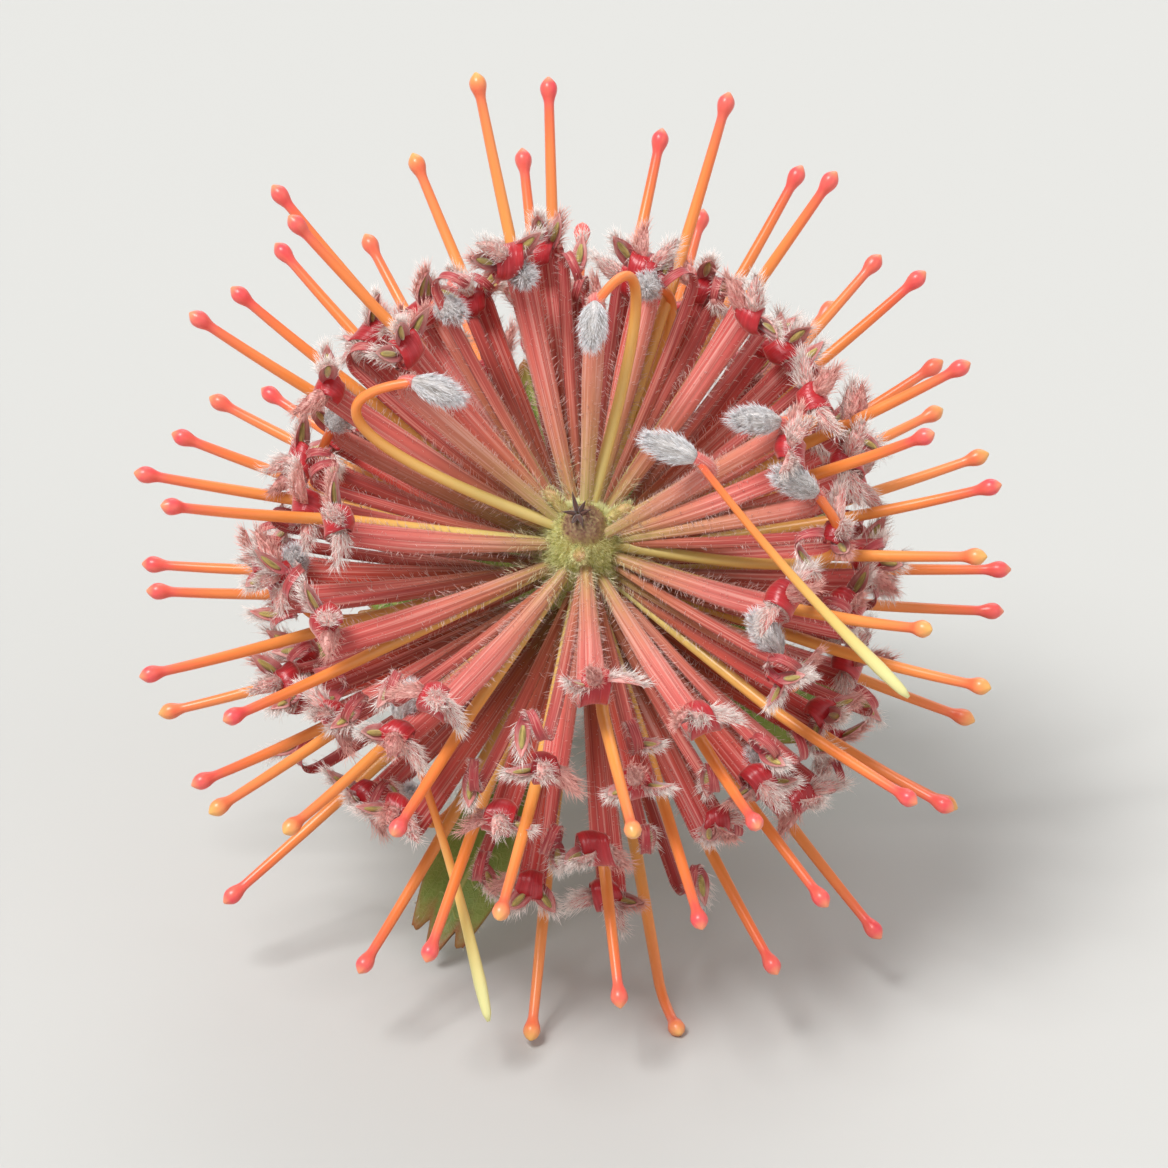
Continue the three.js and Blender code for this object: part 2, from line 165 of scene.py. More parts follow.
class Path:
    """A middle line with its tangent, across and through directions at each station."""

    def __init__(self, points, normals):
        self.points = points
        self.tangent = unit(np.gradient(points, axis=0))
        square = normals - (normals * self.tangent).sum(1, keepdims=True) * self.tangent
        self.through = unit(square)
        self.across = np.cross(self.tangent, self.through)

    def part(self, first, last=None):
        piece = object.__new__(Path)
        for name in ("points", "tangent", "through", "across"):
            setattr(piece, name, getattr(self, name)[first:last])
        return piece

    def at(self, place):
        """The point and directions at places between stations."""
        i = np.clip(place.astype(int), 0, len(self.points) - 2)
        f = column(place - i)
        return [lerp(a[i], a[i + 1], f) for a in (self.points, self.tangent, self.across, self.through)]

    def tube(self, section):
        """The grid of a tube: section is (stations, corners, 2), in across and through."""
        across = self.across[:, None] * section[..., :1]
        return self.points[:, None] + across + self.through[:, None] * section[..., 1:]


def walk(place, lean, steps, clearance=0.5):
    """Walks away from an axis in steps of (length, bend towards the axis, sway). A step that would go
    through the surface bends to run along it. The path's through direction faces the axis."""
    point, axis, out = place
    side = np.cross(axis, out)
    points, normals = [point], [-out * math.cos(lean) + axis * math.sin(lean)]
    angle = lean
    for length, bend, sway in steps:
        angle -= bend / 2
        move = length * unit(out * math.sin(angle) + axis * math.cos(angle) + side * sway)
        room = max(0.0, points[-1][2] - clearance) * (1 - math.exp(-length / LANDING))
        if -move[2] > room:
            flat = move * (1, 1, 0)
            flat *= math.sqrt(max(0.0, length**2 - room**2)) / max(1e-9, np.linalg.norm(flat))
            move = flat - UP * room
        points.append(points[-1] + move)
        angle -= bend / 2
        normals.append(-out * math.cos(angle) + axis * math.sin(angle))
    return Path(np.array(points), np.array(normals))


def rounds(radii, corners, flat=1.0, grooves=0, depth=0.0):
    """Round sections of these radii, with grooves along them."""
    angle = all_round(corners)
    swell = 1 - depth * (0.5 - 0.5 * np.cos(grooves * angle)) ** 2
    radii = column(radii) * swell
    return np.stack([radii * np.cos(angle), radii * np.sin(angle) * flat], -1)


def both_faces(upper, lower):
    """Rings round a sheet: across its upper face and back across its lower one."""
    return np.concatenate([upper, lower[:, ::-1]], 1)


def profile(count, places, sizes):
    """Sizes at even stations, from those at places between 0 and 1."""
    return np.interp(np.linspace(0, 1, count), places, sizes)


def grain_of(grid, key, wide, long):
    """A texture place that runs along a tube, apart for each tube."""
    n, m = grid.shape[:2]
    angle = all_round(m)
    parts = wide * np.cos(angle) + key * 3.7, wide * np.sin(angle), column(np.linspace(0, long, n))
    return np.stack([np.broadcast_to(part, (n, m)) for part in parts], -1)


class Build:
    """Gathers closed grids of points, in millimetres, and turns them into one object. Each is a column of
    its map."""

    def __init__(self, columns):
        self.points, self.loops, self.sizes, self.uvs = [], [], [], []
        self.values = {}
        self.count = 0
        self.used, self.columns = 0, columns

    def _faces(self, corners, uv):
        self.loops.append((corners + self.count).ravel())
        self.uvs.append(uv.reshape(-1, 2))
        self.sizes.append(np.full(len(corners), corners.shape[1]))

    def tube(self, grid, caps="disc", **values):
        """A closed tube from a grid of (stations, corners) points. Its ends are discs, or strips
        where the ring's second half runs back along its first."""
        n, m = grid.shape[:2]
        i, j = (a.ravel() for a in np.meshgrid(np.arange(n - 1), np.arange(m), indexing="ij"))
        k = (j + 1) % m

        def place(rows, cols):
            u = (self.used + 0.06 + 0.88 * cols / m) / self.columns
            return np.stack([u, 0.02 + 0.96 * rows / (n - 1) + 0 * cols], -1)

        quads = np.stack([i * m + j, (i + 1) * m + j, (i + 1) * m + k, i * m + k], 1)
        corners = [place(i, j), place(i + 1, j), place(i + 1, j + 1), place(i, j + 1)]
        self._faces(quads, np.stack(corners, 1))
        if caps == "disc":
            end = np.arange(m)[None]
        else:
            j = np.arange(m // 2 - 1)
            end = np.stack([j, j + 1, m - 2 - j, m - 1 - j], 1)
        for row, faces in ((0, end), (n - 1, end[:, ::-1])):
            self._faces(row * m + faces, place(np.full(faces.shape, row), faces))
        self.used += 1
        self.points.append(grid.reshape(-1, 3))
        for name, value in values.items():
            value = np.asarray(value, float)
            shape = (n, m, 3) if value.ndim == 3 else (n, m)
            self.values.setdefault(name, []).append(np.broadcast_to(value, shape).reshape(n * m, -1))
        self.count += n * m

    def rod(self, path, section, key, grain, caps="disc", **values):
        """A tube of these sections along a path. Its grain is this wide and long, and apart by its key."""
        grid = path.tube(section)
        self.tube(grid, caps, grain=grain_of(grid, key, *grain), **values)

    def make(self, name, material, slot, *nodes):
        points = np.concatenate(self.points) + SHIFT
        mesh = raw_mesh(name, points, np.concatenate(self.loops), np.concatenate(self.sizes))
        layer = mesh.uv_layers.new(name="OFBake")
        layer.data.foreach_set("uv", np.concatenate(self.uvs).astype(np.float32).ravel())
        for key, parts in self.values.items():
            data = np.concatenate(parts)
            kind, field = ("FLOAT", "value") if data.shape[1] == 1 else ("FLOAT_VECTOR", "vector")
            mesh.attributes.new(key, kind, "POINT").data.foreach_set(field, data.ravel())
        dress(name, mesh, material, nodes)


def raw_mesh(name, points, loops, sizes):
    """A smooth mesh from points in millimetres. What would lie below the surface is put onto it."""
    points[:, 2] = np.maximum(points[:, 2], 0)
    mesh = bpy.data.meshes.new(name)
    mesh.vertices.add(len(points))
    mesh.vertices.foreach_set("co", (points * MM).ravel())
    mesh.loops.add(len(loops))
    mesh.loops.foreach_set("vertex_index", loops.astype(np.int32))
    mesh.polygons.add(len(sizes))
    mesh.polygons.foreach_set("loop_start", (np.cumsum(sizes) - sizes).astype(np.int32))
    mesh.polygons.foreach_set("use_smooth", np.ones(len(sizes), bool))
    mesh.update(calc_edges=True)
    return mesh


def dress(name, mesh, material, nodes):
    mesh.materials.append(material)
    piece = bpy.data.objects.new(name, mesh)
    bpy.context.scene.collection.objects.link(piece)
    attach(piece, "root")
    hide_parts(*nodes)


class Hairs:
    """Fine closed three-sided hairs that taper to a point, each bent a little."""

    FACES = [(0, 2, 1), (0, 1, 4, 3), (1, 2, 5, 4), (2, 0, 3, 5), (3, 4, 6), (4, 5, 6), (5, 3, 6)]
    MOST = 19000  # hairs in one piece
    DROOP = 0.35  # how far aside they bend at most, for their length

    def __init__(self):
        self.grids = []

    def add(self, roots, ways, lengths, radius):
        count = len(roots)
        ways = unit(ways)
        aside = unit(np.cross(ways, rng.normal(size=(count, 3))))
        other = np.cross(ways, aside)
        turn = column(all_round(3))
        ring = aside[:, None] * np.cos(turn) + other[:, None] * np.sin(turn)
        reach = column(np.broadcast_to(lengths, count))
        bend = aside * reach * rng.uniform(-self.DROOP, self.DROOP, (count, 1))
        foot = roots[:, None] + ring * radius
        middle = (roots + ways * reach * 0.55 + bend * 0.3)[:, None] + ring * radius * 0.8
        tip = (roots + ways * reach * 0.95 + bend)[:, None]
        self.grids.append(np.concatenate([foot, middle, tip], 1))

    def make(self, name, material, slot, *nodes):
        hairs = np.concatenate(self.grids)
        parts = math.ceil(len(hairs) / self.MOST)
        for k, part in enumerate(np.array_split(hairs, parts)):
            starts = np.arange(len(part)) * 7
            loops = (np.concatenate(self.FACES)[None] + starts[:, None]).ravel()
            sizes = np.tile([len(face) for face in self.FACES], len(part))
            label = name if parts == 1 else f"{name}_{k + 1}"
            mesh = raw_mesh(label, part.reshape(-1, 3) + SHIFT, loops, sizes)
            dress(label, mesh, material, nodes)


def hair_round(hairs, path, radii, between, count, length, forward, radius, flat=1.0, spread=0.22):
    """Hairs all round a tube, between two of its stations."""
    place = rng.uniform(*between, count)
    point, tangent, across, through = path.at(place)
    angle = column(rng.uniform(0, 2 * math.pi, count))
    side = across * np.cos(angle) + through * np.sin(angle) * flat
    reach = column(np.interp(place, np.arange(len(radii)), radii)) * 0.92
    ways = unit(side) + tangent * forward + rng.normal(0, spread, (count, 3))
    hairs.add(point + side * reach, ways, rng.uniform(0.6, 1.1, count) * length, radius)


# Materials.


def colour(code):
    """A linear colour from its usual six-digit code."""
    parts = [int(code[k : k + 2], 16) / 255 for k in (0, 2, 4)]
    return tuple(c / 12.92 if c <= 0.04045 else ((c + 0.055) / 1.055) ** 2.4 for c in parts) + (1.0,)


class Shader:
    """A material whose nodes are added by name."""

    def __init__(self, name, base=None, **sockets):
        self.material = bpy.data.materials.new(name)
        self.material.use_nodes = True
        self.tree = self.material.node_tree
        self.principled = self.tree.nodes["Principled BSDF"]
        if base:
            self.principled.inputs["Base Color"].default_value = colour(base)
        for socket, value in sockets.items():
            value = colour(value) if isinstance(value, str) else value
            self.principled.inputs[socket.replace("_", " ").title()].default_value = value

    def node(self, kind, inputs, **settings):
        made = self.tree.nodes.new("ShaderNode" + kind)
        for key, value in settings.items():
            setattr(made, key, value)
        for key, value in inputs.items():
            if isinstance(value, bpy.types.NodeSocket):
                self.tree.links.new(value, made.inputs[key])
            else:
                made.inputs[key].default_value = colour(value) if isinstance(value, str) else value
        return made

    def read(self, name):
        return self.node("Attribute", {}, attribute_name=name).outputs["Fac"]

    def grain(self, scale=(1, 1, 1)):
        """The place in a piece's grain, stretched by this scale."""
        made = self.node("Attribute", {}, attribute_name="grain").outputs["Vector"]
        return self.node("Mapping", {"Vector": made, "Scale": scale}).outputs[0]

    def ramp(self, factor, stops):
        """The colours of {place: colour} along a factor."""
        made = self.node("ValToRGB", {"Fac": factor})
        elements = made.color_ramp.elements
        while len(elements) < len(stops):
            elements.new(0.5)
        for element, (place, code) in zip(elements, stops.items()):
            element.position = place
            element.color = colour(code)
        return made.outputs["Color"]

    def noise(self, vector, scale=1.0, detail=3.0, roughness=0.55):
        inputs = {"Vector": vector, "Scale": scale, "Detail": detail, "Roughness": roughness}
        return self.node("TexNoise", inputs).outputs["Fac"]

    def cells(self, vector, scale, feature="F1"):
        made = self.node("TexVoronoi", {"Vector": vector, "Scale": scale}, feature=feature)
        return made.outputs["Distance"]

    def math(self, operation, a, b=0.0):
        return self.node("Math", {0: a, 1: b}, operation=operation).outputs[0]

    def times(self, a, b):
        return self.math("MULTIPLY", a, b)

    def plus(self, a, b):
        return self.math("ADD", a, b)

    def spread(self, value, low, high, to_low=0.0, to_high=1.0):
        inputs = {"Value": value, "From Min": low, "From Max": high, "To Min": to_low, "To Max": to_high}
        return self.node("MapRange", inputs).outputs["Result"]

    def streaks(self, scale=(1, 1, 1), low=0.3, high=0.7, **noise):
        """Streaks along the grain, from 0 to 1."""
        return self.spread(self.noise(self.grain(scale), **noise), low, high)

    def mix(self, factor, a, b):
        return self.node("Mix", {0: factor, 6: a, 7: b}, data_type="RGBA").outputs[2]

    def tint(self, base, other, factor, low=0.0, high=1.0, most=1.0):
        """The base with up to this most of another colour, by how far a factor is from low to high."""
        return self.mix(self.spread(factor, low, high, 0.0, most), base, other)

    def finish(self, base, bump, strength, distance, rough=None):
        self.tree.links.new(base, self.principled.inputs["Base Color"])
        if rough is not None:
            self.tree.links.new(rough, self.principled.inputs["Roughness"])
        made = self.node("Bump", {"Height": bump, "Strength": strength, "Distance": distance})
        self.tree.links.new(made.outputs["Normal"], self.principled.inputs["Normal"])
        return self.material


def strap_material():
    """Dusty pink and hairy on one side, glossy crimson on the other, yellow-green at the foot; painted shade
    darkens lower florets.
    """
    s = Shader("perianth", sheen_weight=0.55, sheen_roughness=0.4, sheen_tint="f8d6cc")
    along, inner, tone = s.read("along"), s.read("inner"), s.read("tone")
    pink = {0: "bcc272", 0.12: "c0a869", 0.27: "cd8e6a", 0.5: "dc7d70", 0.75: "d6635d", 1: "bb3338"}
    brick = {0: "a09a50", 0.13: "ab7d40", 0.3: "be5430", 0.6: "cf452d", 0.85: "bb2e2e", 1: "a8232b"}
    crimson = {0: "a8803a", 0.3: "b9482d", 0.7: "c22c2a", 1: "ba2229"}
    streak = s.streaks(detail=4.0)
    fine = s.streaks((3.2, 3.2, 1.2), 0.35, 0.65, detail=2.0)
    # Painted shade and back light: the tone mixes dusty pink with a brick-red copy that stands for straps in
    # shade or lit from behind.
    outside = s.mix(s.spread(tone, -1, 1), s.ramp(along, pink), s.ramp(along, brick))
    outside = s.tint(outside, s.mix(0.5, outside, "a3262a"), streak, most=0.5)
    outside = s.mix(s.times(s.read("furrow"), 0.4), outside, "a02c2a")
    outside = s.tint(outside, "efc2b6", fine, 0.5, 1, 0.45)
    # Painted shade: the outer face's foot turns ochre-brown, more so on florets further down the head, for
    # the shade deep among the florets.
    painted_shade = s.times(s.spread(along, 0.1, 0.6, 0.75, 0), s.spread(s.read("deep"), 0.2, 0.8))
    outside = s.mix(painted_shade, outside, "703c1e")
    inside = s.tint(s.ramp(along, crimson), "7a0c1e", streak, most=0.45)
    inside = s.tint(inside, "d8606a", fine, 0.6, 1, 0.25)
    rough = s.spread(inner, 0, 1, 0.6, 0.3)
    return s.finish(s.mix(inner, outside, inside), streak, 0.35, 0.00022, rough)


def style_material():
    """Pale yellow-green at the foot, orange, then coral, with a red presenter. Some turn yellow again."""
    s = Shader("style", roughness=0.34, coat_weight=0.12, coat_roughness=0.3)
    along = s.read("along")
    wire = {0: "dedb98", 0.22: "dfc470", 0.42: "e8aa56", 0.62: "ee8a3c", 0.82: "f27636", 0.915: "ee6240"}
    presenter = {0.94: "ee544e", 0.985: "ec4a55", 1: "f2906a"}
    ripe = {0: "b9b86a", 0.3: "d8a552", 0.6: "f09a48", 0.9: "f38246", 0.96: "f27448", 1: "e9b45a"}
    body = s.tint(s.ramp(along, wire | presenter), s.ramp(along, ripe), s.read("tone"), 0.55, 1.0, 0.85)
    streak = s.streaks()
    base = s.tint(body, s.mix(0.4, body, "fbd088"), streak, most=0.35)
    return s.finish(base, streak, 0.2, 0.0001)


def felt_material(name, dark, light, inside=None):
    """Felted lobes and limbs: pale, with the colour below showing through in streaks."""
    s = Shader(name, roughness=0.7, sheen_weight=0.5, sheen_roughness=0.5)
    streak = s.noise(s.grain(), 1.6, 4.0)
    base = s.ramp(streak, {0.32: dark, 0.68: light})
    if inside:
        base = s.mix(s.read("inner"), base, s.mix(s.read("along"), inside, base))
    return s.finish(base, streak, 0.5, 0.0002)


def claw_material():
    """Coral to crimson, with lighter and darker streaks."""
    s = Shader("claw", roughness=0.45, sheen_weight=0.2)
    coral = {0: "b3a25c", 0.15: "bd7a52", 0.45: "c25747", 0.75: "b93b3c", 1: "a8243a"}
    streak = s.streaks(detail=4.0)
    body = s.tint(s.ramp(s.read("along"), coral), "93282a", streak, most=0.7)
    body = s.tint(body, "e2a091", s.streaks((3.0, 3.0, 1.2), 0.35, 0.65, detail=2.0), 0.5, 1, 0.55)
    return s.finish(body, streak, 0.5, 0.00025)


def tip_material():
    """The bare tip: yellow-green with a brown-red middle."""
    s = Shader("receptacle", roughness=0.7)
    grain = s.grain()
    along = s.plus(s.read("along"), s.spread(s.noise(grain, 1.5), 0, 1, -0.03, 0.03))
    base = s.ramp(along, {0: "63403a", 0.09: "855a4e", 0.135: "bdb46c", 0.25: "cbd47a", 0.6: "a9ad58"})
    mottled = s.noise(grain, 4.0, 4.0)
    return s.finish(s.tint(base, "c5bb7d", mottled, 0.3, 0.7, 0.5), mottled, 0.5, 0.0003)


def bract_material():
    """Green-brown with a red-brown tip and pale streaks."""
    s = Shader("bract", roughness=0.65, sheen_weight=0.3)
    streak = s.streaks(detail=4.0)
    body = s.ramp(s.read("along"), {0: "7d8442", 0.55: "8f8a4c", 0.85: "94603f", 1: "6e3527"})
    return s.finish(s.tint(body, "b9ad74", streak, most=0.45), streak, 0.5, 0.0003)


def stem_material():
    """Olive bark with redder patches, fine lengthwise ridges and pale dots, and a pale cut end."""
    s = Shader("stem")
    ridge = s.streaks(detail=5.0, roughness=0.65)
    bark = s.mix(s.streaks((0.3, 0.3, 0.25), 0.35, 0.65, detail=2.0), "7f8246", "8c6b44")
    bark = s.mix(s.spread(ridge, 0, 0.5, 0.65, 0), bark, "4d4523")
    bark = s.tint(bark, "b3aa78", ridge, 0.5, 1, 0.7)
    bark = s.tint(bark, "c8bf95", s.streaks((2.6, 2.6, 1.5), 0.4, 0.7), most=0.4)
    dot = s.spread(s.cells(s.grain((0.32, 0.32, 1.8)), 1.0), 0.06, 0.15, 0.7, 0)
    bark = s.mix(dot, bark, "c2b286")
    bark = s.mix(s.times(s.read("scar"), 0.85), bark, "5a4028")
    rings = {0: "5f4a2a", 0.12: "8a7a44", 0.2: "d8c99a", 0.62: "e4d8ae", 0.7: "b79a62"}
    base = s.mix(s.read("cut"), bark, s.ramp(s.read("depth"), rings))
    return s.finish(base, ridge, 0.9, 0.0006, s.spread(ridge, 0, 1, 0.6, 0.75))


def leaf_veins(s, spot, u, v, off):
    """A midrib, side veins that leave it by turns and arch forwards, and a fine net."""
    wander = s.spread(s.noise(spot, 0.25, 2.0), 0, 1, -0.1, 0.1)
    by_turns = s.times(s.math("SIGN", u), 0.25)
    arch = s.times(s.math("POWER", off, 1.5), 2.6)
    phase = s.plus(s.math("SUBTRACT", s.times(v, 9.0), arch), s.plus(wander, by_turns))
    gap = s.math("ABSOLUTE", s.math("SUBTRACT", s.math("FRACT", phase), 0.5))
    side = s.times(s.spread(gap, 0.0, 0.05, 1.0, 0.0), s.spread(off, 0.3, 1.0, 0.8, 0.3))
    net = s.times(s.spread(s.cells(spot, 1.3, "DISTANCE_TO_EDGE"), 0.0, 0.11, 1.0, 0.0), 0.2)
    midrib = s.spread(off, 0.02, 0.075, 1.0, 0.0)
    return s.math("MAXIMUM", s.math("MAXIMUM", midrib, side), net)


def leaf_material():
    """Leathery green, paler below, with pale veins, a thin red margin and rusty teeth."""
    s = Shader("leaf")
    u, v, under = s.read("leaf_u"), s.read("leaf_v"), s.read("under")
    off = s.math("ABSOLUTE", u)
    spot = s.grain()
    vein = leaf_veins(s, spot, u, v, off)
    green = s.mix(s.spread(s.noise(spot, 0.12), 0.35, 0.65), "5d7a2c", "7c9440")
    green = s.tint(green, "93a556", s.noise(spot, 0.9), 0.35, 0.7, 0.3)
    green = s.tint(green, "9c9f48", off, 0.35, 1.0, 0.4)
    green = s.tint(green, "6f5f2e", s.noise(spot, 2.2, 2.0), 0.66, 0.74, 0.5)
    green = s.mix(s.times(vein, 0.75), green, "b3b66c")
    green = s.mix(under, green, s.mix(0.45, green, "a3ab74"))
    green = s.tint(green, "9a4a2c", off, 0.93, 1.0, 0.6)
    tip = s.plus(v, s.spread(s.noise(spot, 0.5), 0, 1, -0.05, 0.05))
    green = s.tint(green, "93502a", tip, 0.9, 1.0, 0.85)
    sunk = s.times(vein, s.spread(under, 0, 1, -0.8, 0.9))
    relief = s.plus(sunk, s.times(s.noise(spot, 3.0), 0.4))
    return s.finish(green, relief, 0.5, 0.0003, s.spread(s.noise(spot, 1.5), 0.3, 0.7, 0.36, 0.52))


def hair_material(name, code):
    return Shader(name, code, roughness=0.5).material


# Where the solids lie: they were centred under the flower after they were made.


def stem_point(distance):
    distance = np.asarray(distance, float)
    bent = np.minimum(distance / BEND_RADIUS, HEAD_TILT)
    dip = HEAD_TILT - bent
    x = STEM_SWAY / 2 * (1 - np.cos(2 * math.pi * distance / STEM_LENGTH))
    y = STEM_TOP[1] + BEND_RADIUS * (math.sin(HEAD_TILT) - np.sin(dip)) + distance - BEND_RADIUS * bent
    z = STEM_TOP[2] - BEND_RADIUS * (np.cos(dip) - math.cos(HEAD_TILT))
    return np.stack([x, y, z], -1)


def stem_radius(distance):
    reach = np.minimum(1, np.asarray(distance, float) / (BEND_RADIUS * HEAD_TILT))
    return lerp(STEM_TOP_RADIUS, STEM_CUT_RADIUS, reach)


def find_shift():
    """The stem's solid is a tube of ten sides and sixteen steps. Its sides and top end give the shift."""
    sides, steps = 10, 16
    distances = np.linspace(0, STEM_LENGTH, steps + 1)
    path = Path(stem_point(distances), np.tile(RIGHT, (steps + 1, 1)))
    angle = (np.arange(sides) + 0.5) * 2 * math.pi / sides
    radii = column(stem_radius(distances) / math.cos(math.pi / sides))
    body = path.tube(np.stack([radii * np.sin(angle), radii * np.cos(angle)], -1))
    lowest = body[:-1].reshape(-1, 3).min(0)
    low = np.array(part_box("stem")[0]) / MM
    return np.array([low[0] - lowest[0], low[1] - lowest[1], 0.0])


SHIFT = find_shift()


# Open florets.

STRAIGHT_STEPS, CURL_STEPS = 18, 30
STRAP_T = np.concatenate([np.linspace(0, 1, STRAIGHT_STEPS + 1), np.linspace(1, 2, CURL_STEPS + 1)[1:]])
RIBS = np.array([1, 0.84, 0.6, 0.42, 0.33, 0.24, 0, -0.24, -0.33, -0.42, -0.6, -0.84, -1])
FURROWS = np.exp(-(((RIBS - 0.33) / 0.08) ** 2)) + np.exp(-(((RIBS + 0.33) / 0.08) ** 2))
PLAIN = {"inner": 0.0, "furrow": 0.0, "deep": 0.0}  # a perianth that is a closed tube
CLAW_DRIFTS = (-0.2, -0.16, -0.12, -0.09, 0.09, 0.12, 0.16, 0.2)
CLAW_STRAIGHT, CLAW_CURL, CLAW_RADIUS = 14, 24, 2.1
LOBE_LENGTH, LOBE_HALF = 5.8, 1.3
CLAW_LOBE_LENGTH, CLAW_LOBE_HALF = 5.4, 1.1
LOBE_ARC = np.array([-1, -0.55, 0, 0.55, 1])
LOBE_SHAPE = np.array([0.42, 0.7, 0.9, 1.0, 1.0, 0.94, 0.82, 0.62, 0.36, 0.08])
ANTHER_SHAPE = [0.2, 0.4, 0.48, 0.48, 0.4, 0.16]
STYLE_STEPS, STYLE_CLEARANCE = 15, 0.8
PRESENTER_SHAPE = [0.71, 0.74, 0.81, 0.91, 1.03, 1.13, 1.19, 1.21, 1.17, 1.05, 0.83, 0.52, 0.16]


def rooted_at(share):
    return tuple(lerp(np.array(INNER_FOOT), np.array(OUTER_FOOT), share))


def vigour(turn):
    return 1 + VIGOUR_MOST * math.cos(turn - VIGOUR_AT) + VIGOUR_UP_AND_DOWN * math.sin(turn) ** 2


def closed_share(lean):
    """How far down the head a closed floret stands, from 0 to 1."""
    share = (math.cos(INNER_LEAN) - math.cos(lean)) / (math.cos(INNER_LEAN) - math.cos(OUTER_LEAN))
    return min(1, max(0, share))


def open_florets():
    """Each open floret's number, share, turn and lean."""
    for index in range(OPEN_FLORETS):
        share = (index + 0.5) / OPEN_FLORETS
        turn = index * GOLDEN_ANGLE + 0.05 * draw(index, 1)
        lean = math.acos(lerp(math.cos(INNER_LEAN), math.cos(OUTER_LEAN), share)) + 0.05 * draw(index, 2)
        yield index, share, turn, lean


def end_of(turn, lean, share, length, drift=0.0):
    """Roughly where a floret's part ends that leans aside by drift."""
    point, axis, out = on_head(turn, *rooted_at(share))
    way = out * math.sin(lean) + axis * math.cos(lean) + np.cross(axis, out) * drift
    return point + unit(way) * length


def claw_drifts():
    """How far each open floret's fourth claw leans aside: it goes where the ring is emptiest."""
    florets = [(turn, lean, share) for _, share, turn, lean in open_florets()]
    closed = [(turn * DEGREE, lean * DEGREE) for turn, lean, *_ in CLOSED_FLORETS]
    florets += [(turn, lean, closed_share(lean)) for turn, lean in closed]
    ends = [end_of(*floret, PERIANTH_LENGTH) for floret in florets]
    drifts = []
    for floret in florets[:OPEN_FLORETS]:
        choices = [(drift, end_of(*floret, PERIANTH_LENGTH, drift)) for drift in CLAW_DRIFTS]
        drift, end = max(choices, key=lambda choice: np.linalg.norm(np.array(ends) - choice[1], axis=1).min())
        ends.append(end)
        drifts.append(drift)
    return drifts


class Gutter:
    """A sheath's section at each station: a tube at its foot, then a ribbed gutter that turns into a ruffled
    band where it rolls up. It is an arc with a half width and a half angle, which may change sides."""

    def __init__(self, index):
        t = STRAP_T
        half = np.interp(t, [0, 0.15, 0.35, 0.6, 1, 1.4, 2], [0.8, 0.9, 1.3, 1.8, 2.1, 1.9, 1.2])
        half *= 1 + 0.07 * np.sin(9 * t + 5 * draw(index, 61)) * np.clip(t, 0, 1)
        knots = [0, 0.15, 0.4, 0.8, 1.0, 1.2, 1.6, 2]
        self.angle = np.interp(t, knots, [150, 130, 88, 62, 44, 12, -24, -40]) * DEGREE
        self.angle += 0.13 * np.sin(13 * t + 5 * draw(index, 62)) * np.clip(t - 0.9, 0, 1)
        self.angle = np.where(abs(self.angle) < 0.02, 0.02, self.angle)
        bent = np.clip(self.angle, -math.pi / 2, math.pi / 2)
        self.radius = half / np.sin(bent)
        self.ruffle = 0.35 * np.clip(t - 1, 0, 1) * np.sin(21 * t + 5 * draw(index, 63))

    def at(self, stations, share, lift):
        """Across and through at places on the arc, and the direction that faces off it."""
        every = np.arange(len(STRAP_T))
        curves = self.angle, self.radius, self.ruffle
        angle, radius, ruffle = (np.interp(stations, every, curve) for curve in curves)
        turned = angle * share
        across = (radius + lift) * np.sin(turned)
        through = (radius + lift) * np.cos(turned) - radius + ruffle * share**3
        return across, through, turned

    def section(self):
        stations = column(np.arange(len(STRAP_T)))
        outer = self.at(stations, RIBS[None], -0.17 * FURROWS)
        inner = self.at(stations, RIBS[None, ::-1], -0.42 + 0.2 * RIBS**2)
        return np.stack([np.concatenate([outer[k], inner[k]], 1) for k in (0, 1)], -1)


def strap_path(index, share, turn, lean):
    """A sheath's middle line: straight, then rolled towards the flower's tip for about a turn."""
    length = PERIANTH_LENGTH * vigour(turn) * (1 + 0.06 * draw(index, 5))
    radius = CURL_RADIUS * (1 + 0.14 * draw(index, 4))
    rolled = (330 + 70 * draw(index, 3)) * DEGREE
    sway = 0.06 * draw(index, 6)
    steps = even(length, PERIANTH_BOW, STRAIGHT_STEPS, sway)
    aside = sway + 0.35 * draw(index, 21)
    for k in range(CURL_STEPS):
        tighter = lerp(1.1, 0.5, (k + 0.5) / CURL_STEPS)
        steps.append((radius * tighter * rolled / CURL_STEPS, rolled / CURL_STEPS, aside))
    return walk(on_head(turn, *rooted_at(share)), lean + PERIANTH_BOW / 2, steps)


def hair_strap(hairs, path, gutter):
    """Pale hairs: a comb along both edges of a sheath and a thin coat on its outer face."""
    count = 500
    place = rng.uniform(1, STRAIGHT_STEPS + 14, count)
    point, tangent, across, through = path.at(place)
    edge = rng.random(count) < 0.55
    side = rng.choice([-1, 1], count)
    share = np.where(edge, side * rng.uniform(0.85, 1, count), rng.uniform(-0.85, 0.85, count))
    x, z, angle = gutter.at(place, share, -0.04)
    normal = across * column(np.sin(angle)) + through * column(np.cos(angle))
    ways = normal + tangent * 0.6 + rng.normal(0, 0.28, (count, 3))
    lengths = np.where(edge, rng.uniform(0.8, 1.9, count), rng.uniform(0.35, 0.9, count))
    hairs.add(point + across * column(x) + through * column(z), ways, lengths, radius=0.032)


def hair_foot(hairs, path):
    """Longer cream hairs round a sheath's foot."""
    hair_round(
        hairs, path, np.full(6, 0.85), (0.4, 4.5), count=70, length=1.9, forward=1.1, radius=0.034, spread=0.4
    )


